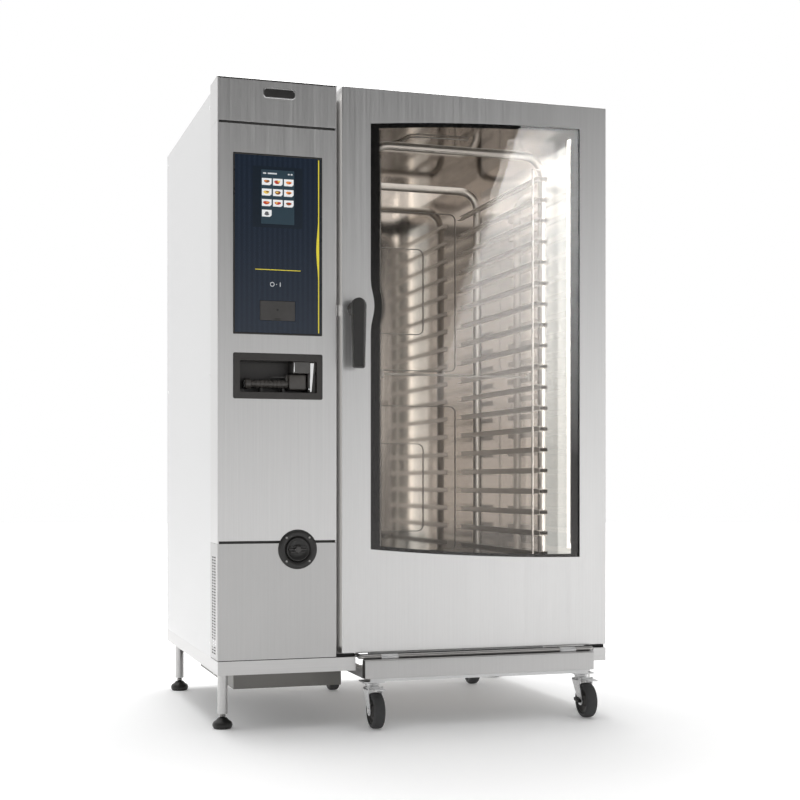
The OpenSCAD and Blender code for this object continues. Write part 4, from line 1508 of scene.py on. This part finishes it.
def wheel_profiles(r, half):
    """Tyre and hub as closed turned profiles: (radius, distance from the wheel's middle)."""
    crown = np.linspace(-1, 1, 9)
    tread = np.stack([r - 1.2 * np.abs(crown) ** 2.5, crown * (half - 4.5)], 1)
    shoulder = [
        (r - 3.0, half - 2.4), (r - 6.0, half - 0.8), (r - 10.0, half), (r - 14.0, half - 0.6),
        (r - 14.4, half - 3),
    ]
    other = [(a, -b) for a, b in shoulder[::-1]]
    tyre_line = other + [tuple(p) for p in tread] + shoulder
    hub_side = [
        (r - 14.5, half - 3.2), (r - 17, half - 3.6), (r - 20, half - 8), (20, half - 9.5),
        (17, half - 8), (15.5, half - 1.2), (14, half - 0.4), (9, half - 0.4), (8, half - 1.4),
        (6, half - 1.4), (5.2, half - 1.4),
    ]
    return tyre_line, [(a, -b) for a, b in hub_side[::-1]] + hub_side


def closed_turn(name, profile, centre, body, slot, material, n=64, **more):
    """A turned ring: the profile closes on itself instead of being capped."""
    profile = np.asarray(profile, float)
    turn = np.arange(n) * 2 * math.pi / n
    y = centre[1] + profile[:, :1] * np.cos(turn)
    z = centre[2] + profile[:, :1] * np.sin(turn)
    x = np.broadcast_to(centre[0] + profile[:, 1:], y.shape)
    grid = np.stack([x, y, z], -1)
    made = piece(
        name,
        grid.reshape(-1, 3),
        list(quads(len(profile), n, wrap_rows=True)),
        body,
        slot,
        material,
        **more,
    )
    return turned_out(made)


for node_name, body_name in WHEELS.items():
    low, high = span(node_name)
    centre = (low + high) / 2
    tyre_line, hub_line = wheel_profiles((high[2] - low[2]) / 2, (high[0] - low[0]) / 2)
    closed_turn(node_name + "_tyre", tyre_line, centre, body_name, "tyre", tyre, n=96, replaces=[node_name])
    closed_turn(node_name + "_hub", hub_line, centre, body_name, "tyre", grey_plastic)
print("wheels", len(WHEELS), "of radius", round((high[2] - low[2]) / 2, 1))

# %% [markdown]
# ## Castor forks
# Each front castor is a pressed and zinc-plated fork: two cheeks, a crown over the wheel, and a
# swivel head with its ball race. The cheeks keep the round ends and the tapered sides of the real
# pressing, with edges broken by a millimetre.

# %% Forks
SWIVEL_Y, AXLE_BACK, AXLE_Z, CROWN_Z = -15.0, -35.0, 50.0, 110.0
CHEEK = (18.0, 21.0)


def cheek_outline(r=14.0):
    """Counter-clockwise in y and z: half a circle round the axle, then up to a crown 50 mm long."""
    t = np.radians(np.linspace(180, 360, 21))
    foot = np.stack([AXLE_BACK + r * np.cos(t), AXLE_Z + r * np.sin(t)], 1)
    top = np.concatenate([bend(19, CROWN_Z - 3, 3, 0, 3), bend(-25, CROWN_Z - 3, 3, 90, 3)])
    return np.concatenate([foot, top]) + [SWIVEL_Y, 0]


def castor(side, x, body, node):
    """One fork: cheeks, crown, swivel head, pedal ears, axle and nuts, all riding on its body."""
    name = f"castor_{side}"
    for k, (outside, inside) in enumerate(((-CHEEK[1], -CHEEK[0]), (CHEEK[1], CHEEK[0]))):
        more = {"replaces": [node]} if k == 0 else {}
        a, b = sorted((outside, inside))
        plate(
            f"{name}_cheek_{k}", cheek_outline(), x + outside, x + inside, 0.9, "x", body, "zinc_steel",
            zinc_steel, **more,
        )
        nut = disc(SWIVEL_Y + AXLE_BACK, AXLE_Z, 8.0, 6)
        outer = x + math.copysign(24.0, a)
        plate(
            f"{name}_nut_{k}", nut, outer, outer - math.copysign(3.0, a), 0.8, "x", body, "zinc_steel",
            zinc_steel,
        )
        eye = SWIVEL_Y - 32.0
        ring(
            f"{name}_ear_{k}", disc(eye, 112.0, 5.0, 32), disc(eye, 112.0, 2.3, 32), x + min(a, b),
            x + max(a, b), 0.4, "x", body, "zinc_steel", zinc_steel,
        )
        plate(
            f"{name}_ear_foot_{k}",
            rounded(eye - 4.9, eye + 4.9, 100.0, 108.2, 1.0),
            x + min(a, b),
            x + max(a, b),
            0.4,
            "x",
            body,
            "zinc_steel",
            zinc_steel,
        )
    crown = rounded(x - CHEEK[1], x + CHEEK[1], SWIVEL_Y - 28, SWIVEL_Y + 22, 4.0)
    plate(f"{name}_crown", crown, 110.3, 106.0, 1.6, "z", body, "zinc_steel", zinc_steel)
    head = [
        (8, 110.0), (19, 110.0), (20, 111.0), (20, 113.0), (18.2, 114.2), (18.2, 115.8), (20, 117.0),
        (20, 121.5), (18.5, 123.4), (6, 123.5), (6, 127.8), (1.5, 127.8),
    ]
    turned(f"{name}_head", head, (x, SWIVEL_Y, 0), "z", body, "zinc_steel", zinc_steel, n=48)
    axle = [(1.5, -22.0), (4.9, -21.5), (4.9, 21.5), (1.5, 22.0)]
    turned(f"{name}_axle", axle, (x, SWIVEL_Y + AXLE_BACK, AXLE_Z), "x", body, "zinc_steel", zinc_steel, n=32)


def swivel_x(node):
    """The castor's swivel line in x: the middle of its fork's box."""
    low, high = span(node)
    return float((low[0] + high[0]) / 2)


for side in ("left", "right"):
    castor(side, swivel_x(f"fork_{side}"), f"castor_{side}", f"fork_{side}")
print("castors at x", swivel_x("fork_left"), swivel_x("fork_right"))

# %% [markdown]
# ## Brake pedals
# A pressed plate with a turned-up rim lies over each front wheel, on a pin through the fork's
# ears. The right castor also carries a short black lever low on its cheek.

# %% Pedals


def pedal(side, x, body, node):
    """Plate with a shallow rim and three pressed ribs, and the pin with its barrel."""
    y0, y1 = SWIVEL_Y - 83.0, SWIVEL_Y - 31.5
    pad = rounded(x - 16.8, x + 16.8, y0, y1, 6.0)
    plate(f"pedal_{side}_plate", pad, 113.0, 110.5, 1.0, "z", body, "zinc_steel", zinc_steel, replaces=[node])
    for k in range(3):
        rib = rounded(x - 12, x + 12, y0 + 8 + 9 * k, y0 + 11 + 9 * k, 1.4)
        plate(f"pedal_{side}_rib_{k}", rib, 114.2, 112.6, 0.7, "z", body, "zinc_steel", zinc_steel)
    barrel = [
        (1.0, -20.0), (2.0, -19.6), (2.0, -17.0), (3.4, -16.8), (3.4, 16.8), (2.0, 17.0), (2.0, 19.6),
        (1.0, 20.0),
    ]
    turned(
        f"pedal_{side}_pin", barrel, (x, SWIVEL_Y - 32.0, 112.0), "x", body, "zinc_steel", zinc_steel,
        n=24,
    )


for side in ("left", "right"):
    pedal(side, swivel_x(f"fork_{side}"), f"brake_{side}", f"pedal_{side}")
lever_x = swivel_x("fork_right") - 24.2
toe = np.array([(-68, 46), (-40, 50), (-38, 58), (-44, 60), (-66, 55), (-70, 51)], float)
plate(
    "castor_right_lever", toe, lever_x - 11.0, lever_x, 1.5, "x", "castor_right", "black_plastic",
    black_plastic,
)
print("brake lever beside the right fork, at x", lever_x)

# %% [markdown]
# ## Feet
# Each leg ends in a threaded stem with a hexagon, on a domed black foot that spreads the weight.

# %% Stem and dome
foot_low, foot_high = span("leveling_feet")
dome = [
    (4, 31.0), (9, 31.0), (12.5, 29.5), (15.0, 26.5), (19.0, 22.5), (24.5, 19.0), (27.2, 15.0),
    (28.0, 10.0), (26.8, 5.0), (24.6, 1.6), (23.6, 0.0), (2.0, 0.0),
]
stem = [
    (1.5, 30.5), (6.0, 30.5), (6.0, 33.0), (8.6, 33.4), (8.6, 37.6), (6.0, 38.0), (6.0, 41.0), (1.5, 41.0)
]
legs = [(x, y) for x in (foot_low[0] + 28, foot_high[0] - 28) for y in (foot_low[1] + 28, foot_high[1] - 28)]
for i, (x, y) in enumerate(legs):
    more = {"replaces": ["leveling_feet"]} if i == 0 else {}
    turned(f"foot_dome_{i}", dome, (x, y, 0), "z", "cabinet", "black_plastic", black_plastic, n=48, **more)
    turned(f"foot_stem_{i}", stem, (x, y, 0), "z", "cabinet", "zinc_steel", bar_steel, n=32)
print("feet at", np.round(legs).tolist())

# %% [markdown]
# ## The touch panel's frame
# A black moulded frame stands two millimetres proud round the glass, with its outer edge broken.

# %% The frame
frame_out = rounded(touch_low[0], touch_high[0], touch_low[2], touch_high[2], 2.5)
frame_in = rounded(touch_low[0] + 5, touch_high[0] - 5, touch_low[2] + 5, touch_high[2] - 5, 1.5)
frame_black = moulded("frame_black", (0.02, 0.019, 0.018), 0.3, texture=0.008)
ring(
    "touch_frame_rim", frame_out, frame_in, touch_low[1], touch_high[1], 1.4, "y", "cabinet",
    "black_plastic", frame_black, replaces=["touch_frame"],
)
print("frame", np.round(touch_high - touch_low, 1))

# %% [markdown]
# ## The floor, the light and the camera
# A white floor, a wide soft box overhead, and an even white room. The room is darker high up in
# front, because polished steel shows what it faces: the column's front shades from pale at the
# foot to mid grey at the top. A tilted card at the front right gives the glass its slanting
# reflection, which fades towards the card's foot. It lights the panes only. Narrow lamps inside
# the cabinet stand for the door's light strip: the steel wall beside the door is the brightest.

# %% The floor
MIDDLE = (581.0, 433.0)


def floor_sheet():
    """A flat ring grid whose middle is closed: radii grow so the rim is far behind the object.

    The paper gives off a little light of its own, more with distance, so that it fades to white.
    """
    radii = np.array([0.02, 1.0, 3.0, 8.0, 20.0]) / MM
    points = np.concatenate([np.stack([*disc(*MIDDLE, r, 64).T, np.zeros(64)], 1) for r in radii])
    faces = list(quads(len(radii), 64)) + [range(64)]
    mesh = bpy.data.meshes.new("floor")
    mesh.from_pydata(at(points).tolist(), [], [list(map(int, f)) for f in faces])
    made = bpy.data.objects.new("floor", mesh)
    bpy.context.scene.collection.objects.link(made)
    white, shader = begin("floor_white", (0.93, 0.93, 0.93), 0.7, emission_color=(1, 1, 1, 1))
    tone = noise(white, (1.5, 1.5, 1.5), 2.0)
    far = add(white, "VectorMath", {0: place(white, (1, 1, 1))}, operation="LENGTH").outputs["Value"]
    wire_up(white, shader, emission_strength=number(white, far, 0.14, 0.55, 1.2, 6.0))
    made.data.materials.append(
        wire_up(white, shader, base_color=colours(white, tone, [(0, (0.92,) * 3), (1, (0.94,) * 3)]))
    )
    return made


floor = floor_sheet()
print("floor", len(floor.data.polygons), "faces")

# %% The room's light


def room():
    """White to the camera; for light and reflections, a soft white dome that is dimmer in front.

    The direction's height gives the elevation; its -y part says how far in front it is. In front
    the light falls from 0.95 at the horizon to almost nothing at 14 degrees, and rises overhead.
    """
    world = bpy.data.worlds.new("room")
    bpy.context.scene.world = world
    world.use_nodes = True
    tree = world.node_tree
    ways = tree.nodes.new("ShaderNodeTexCoord")
    split = tree.nodes.new("ShaderNodeSeparateXYZ")
    tree.links.new(ways.outputs["Generated"], split.inputs[0])
    rise = tree.nodes.new("ShaderNodeValToRGB")
    stops = [
        (0.0, 0.8), (0.50, 0.95), (0.545, 0.85), (0.585, 0.12), (0.62, 0.02), (0.70, 0.015), (0.82, 0.08),
        (1.0, 1.2),
    ]
    while len(rise.color_ramp.elements) < len(stops):
        rise.color_ramp.elements.new(0.5)
    for element, (position, level) in zip(rise.color_ramp.elements, stops):
        element.position, element.color = position, (level, level, level, 1)
    height = tree.nodes.new("ShaderNodeMapRange")
    height.inputs["From Min"].default_value = -1.0
    tree.links.new(split.outputs[2], height.inputs[0])
    tree.links.new(height.outputs[0], rise.inputs[0])
    ahead = tree.nodes.new("ShaderNodeMapRange")
    ahead.inputs["From Min"].default_value, ahead.inputs["From Max"].default_value = 0.25, -0.35
    tree.links.new(split.outputs[1], ahead.inputs[0])
    mix = tree.nodes.new("ShaderNodeMix")
    mix.data_type = "RGBA"
    colour_in = {s.identifier: s for s in mix.inputs}
    colour_in["A_Color"].default_value = (1.0, 1.0, 1.0, 1)
    tree.links.new(rise.outputs[0], colour_in["B_Color"])
    tree.links.new(ahead.outputs[0], colour_in["Factor_Float"])
    dome = tree.nodes["Background"]
    result = {s.identifier: s for s in mix.outputs}["Result_Color"]
    tree.links.new(result, dome.inputs["Color"])
    seen = tree.nodes.new("ShaderNodeBackground")
    seen.inputs["Color"].default_value = (1, 1, 1, 1)
    path = tree.nodes.new("ShaderNodeLightPath")
    pick = tree.nodes.new("ShaderNodeMixShader")
    tree.links.new(path.outputs["Is Camera Ray"], pick.inputs[0])
    tree.links.new(dome.outputs[0], pick.inputs[1])
    tree.links.new(seen.outputs[0], pick.inputs[2])
    tree.links.new(pick.outputs[0], tree.nodes["World Output"].inputs["Surface"])


room()

# %% Soft boxes
CARD_LEAN = -18.3
CARD_FADE = (-0.03, 0.36)


def soft_box(name, place_mm, look_mm, width, height, watts):
    """A rectangular lamp at one point turned to face another, both in mm from the corner."""
    lamp = bpy.data.lights.new(name, "AREA")
    lamp.shape, lamp.size, lamp.size_y, lamp.energy = "RECTANGLE", width, height, watts
    made = bpy.data.objects.new(name, lamp)
    bpy.context.scene.collection.objects.link(made)
    start, aim = Vector(at(place_mm)), Vector(at(look_mm))
    made.location = start
    made.rotation_euler = (aim - start).to_track_quat("-Z", "Y").to_euler()
    return made


soft_box("overhead", (600, 1500, 4200), (600, 900, 0), 3.0, 2.6, 135)
card = soft_box("slanted_card", (3300, -3100, 1300), (3300, 0, 1300), 2.3, 3.4, 10)
glass_card = soft_box("glass_card", (4334, -3000, 1896), (4334, 0, 1896), 4.6, 3.2, 800)
for leaning in (card, glass_card):
    leaning.rotation_euler.rotate_axis("Z", math.radians(CARD_LEAN))


def light_only(lamp, node):
    """Lets a lamp reach one part of the frame and nothing else."""
    receivers = bpy.data.collections.new(f"lit_by_{lamp.name}")
    receivers.objects.link(frame["nodes"][node])
    lamp.light_linking.receiver_collection = receivers


light_only(glass_card, "door_glass")
glass_card.data.use_nodes = True
card_tree = glass_card.data.node_tree
across = card_tree.nodes.new("ShaderNodeNewGeometry")
card_split = card_tree.nodes.new("ShaderNodeSeparateXYZ")
card_tree.links.new(across.outputs["Parametric"], card_split.inputs[0])
fade = card_tree.nodes.new("ShaderNodeMapRange")
fade.inputs["From Min"].default_value = CARD_FADE[0]
fade.inputs["From Max"].default_value = CARD_FADE[1]
card_tree.links.new(card_split.outputs[1], fade.inputs[0])
card_tree.links.new(fade.outputs[0], card_tree.nodes["Emission"].inputs["Strength"])
gap_light = soft_box("gap_glow", (338, 30, 1000), (400, 30, 1000), 0.04, 1.56, 0.12)
post_light = soft_box("post_glow", (1046, 93, 1000), (900, 300, 1000), 0.03, 1.3, 0.6)
inside = [gap_light, post_light, soft_box("ceiling_glow", (760, 480, 1728), (760, 480, 0), 0.5, 0.6, 0.75)]
WALL_GLOW = [(92, 210, 1.35), (210, 330, 0.85), (330, 470, 0.42), (470, 880, 0.2)]
COOL, WARM = (0.9, 0.975, 1.0), (1.0, 0.975, 0.945)
WALL_X = liner_high[0] - 8.0
for step, (near, away, radiance) in enumerate(WALL_GLOW):
    deep, tall = (away - near) * MM, 1.5
    middle = (near + away) / 2
    watts = radiance * math.pi * deep * tall
    start, aim = (WALL_X, middle, 960), (WALL_X + 60, middle, 960)
    inside.append(soft_box(f"wall_glow_{step}", start, aim, deep, tall, watts))
light_only(post_light, "rack_hoops")
for lamp in inside:
    lamp.data.color = COOL if lamp.name in ("wall_glow_0", "wall_glow_1") else WARM
    lamp.visible_camera = False

# %% The camera
EYE = (-1.28165, -4.30891, 0.68577)
YAW = 17.5


def stand_camera():
    """Level, so uprights stay upright; the lens shift lifts the frame instead of tilting."""
    camera = bpy.data.cameras.new("camera")
    camera.lens, camera.sensor_width, camera.shift_y = 64.56, 36, 0.1024
    made = bpy.data.objects.new("camera", camera)
    made.location = EYE
    made.rotation_euler = (math.radians(90), 0, math.radians(-YAW))
    bpy.context.scene.collection.objects.link(made)
    bpy.context.scene.camera = made


stand_camera()
bpy.context.scene.view_settings.view_transform = "Standard"
print("camera level at", EYE[2], "m")
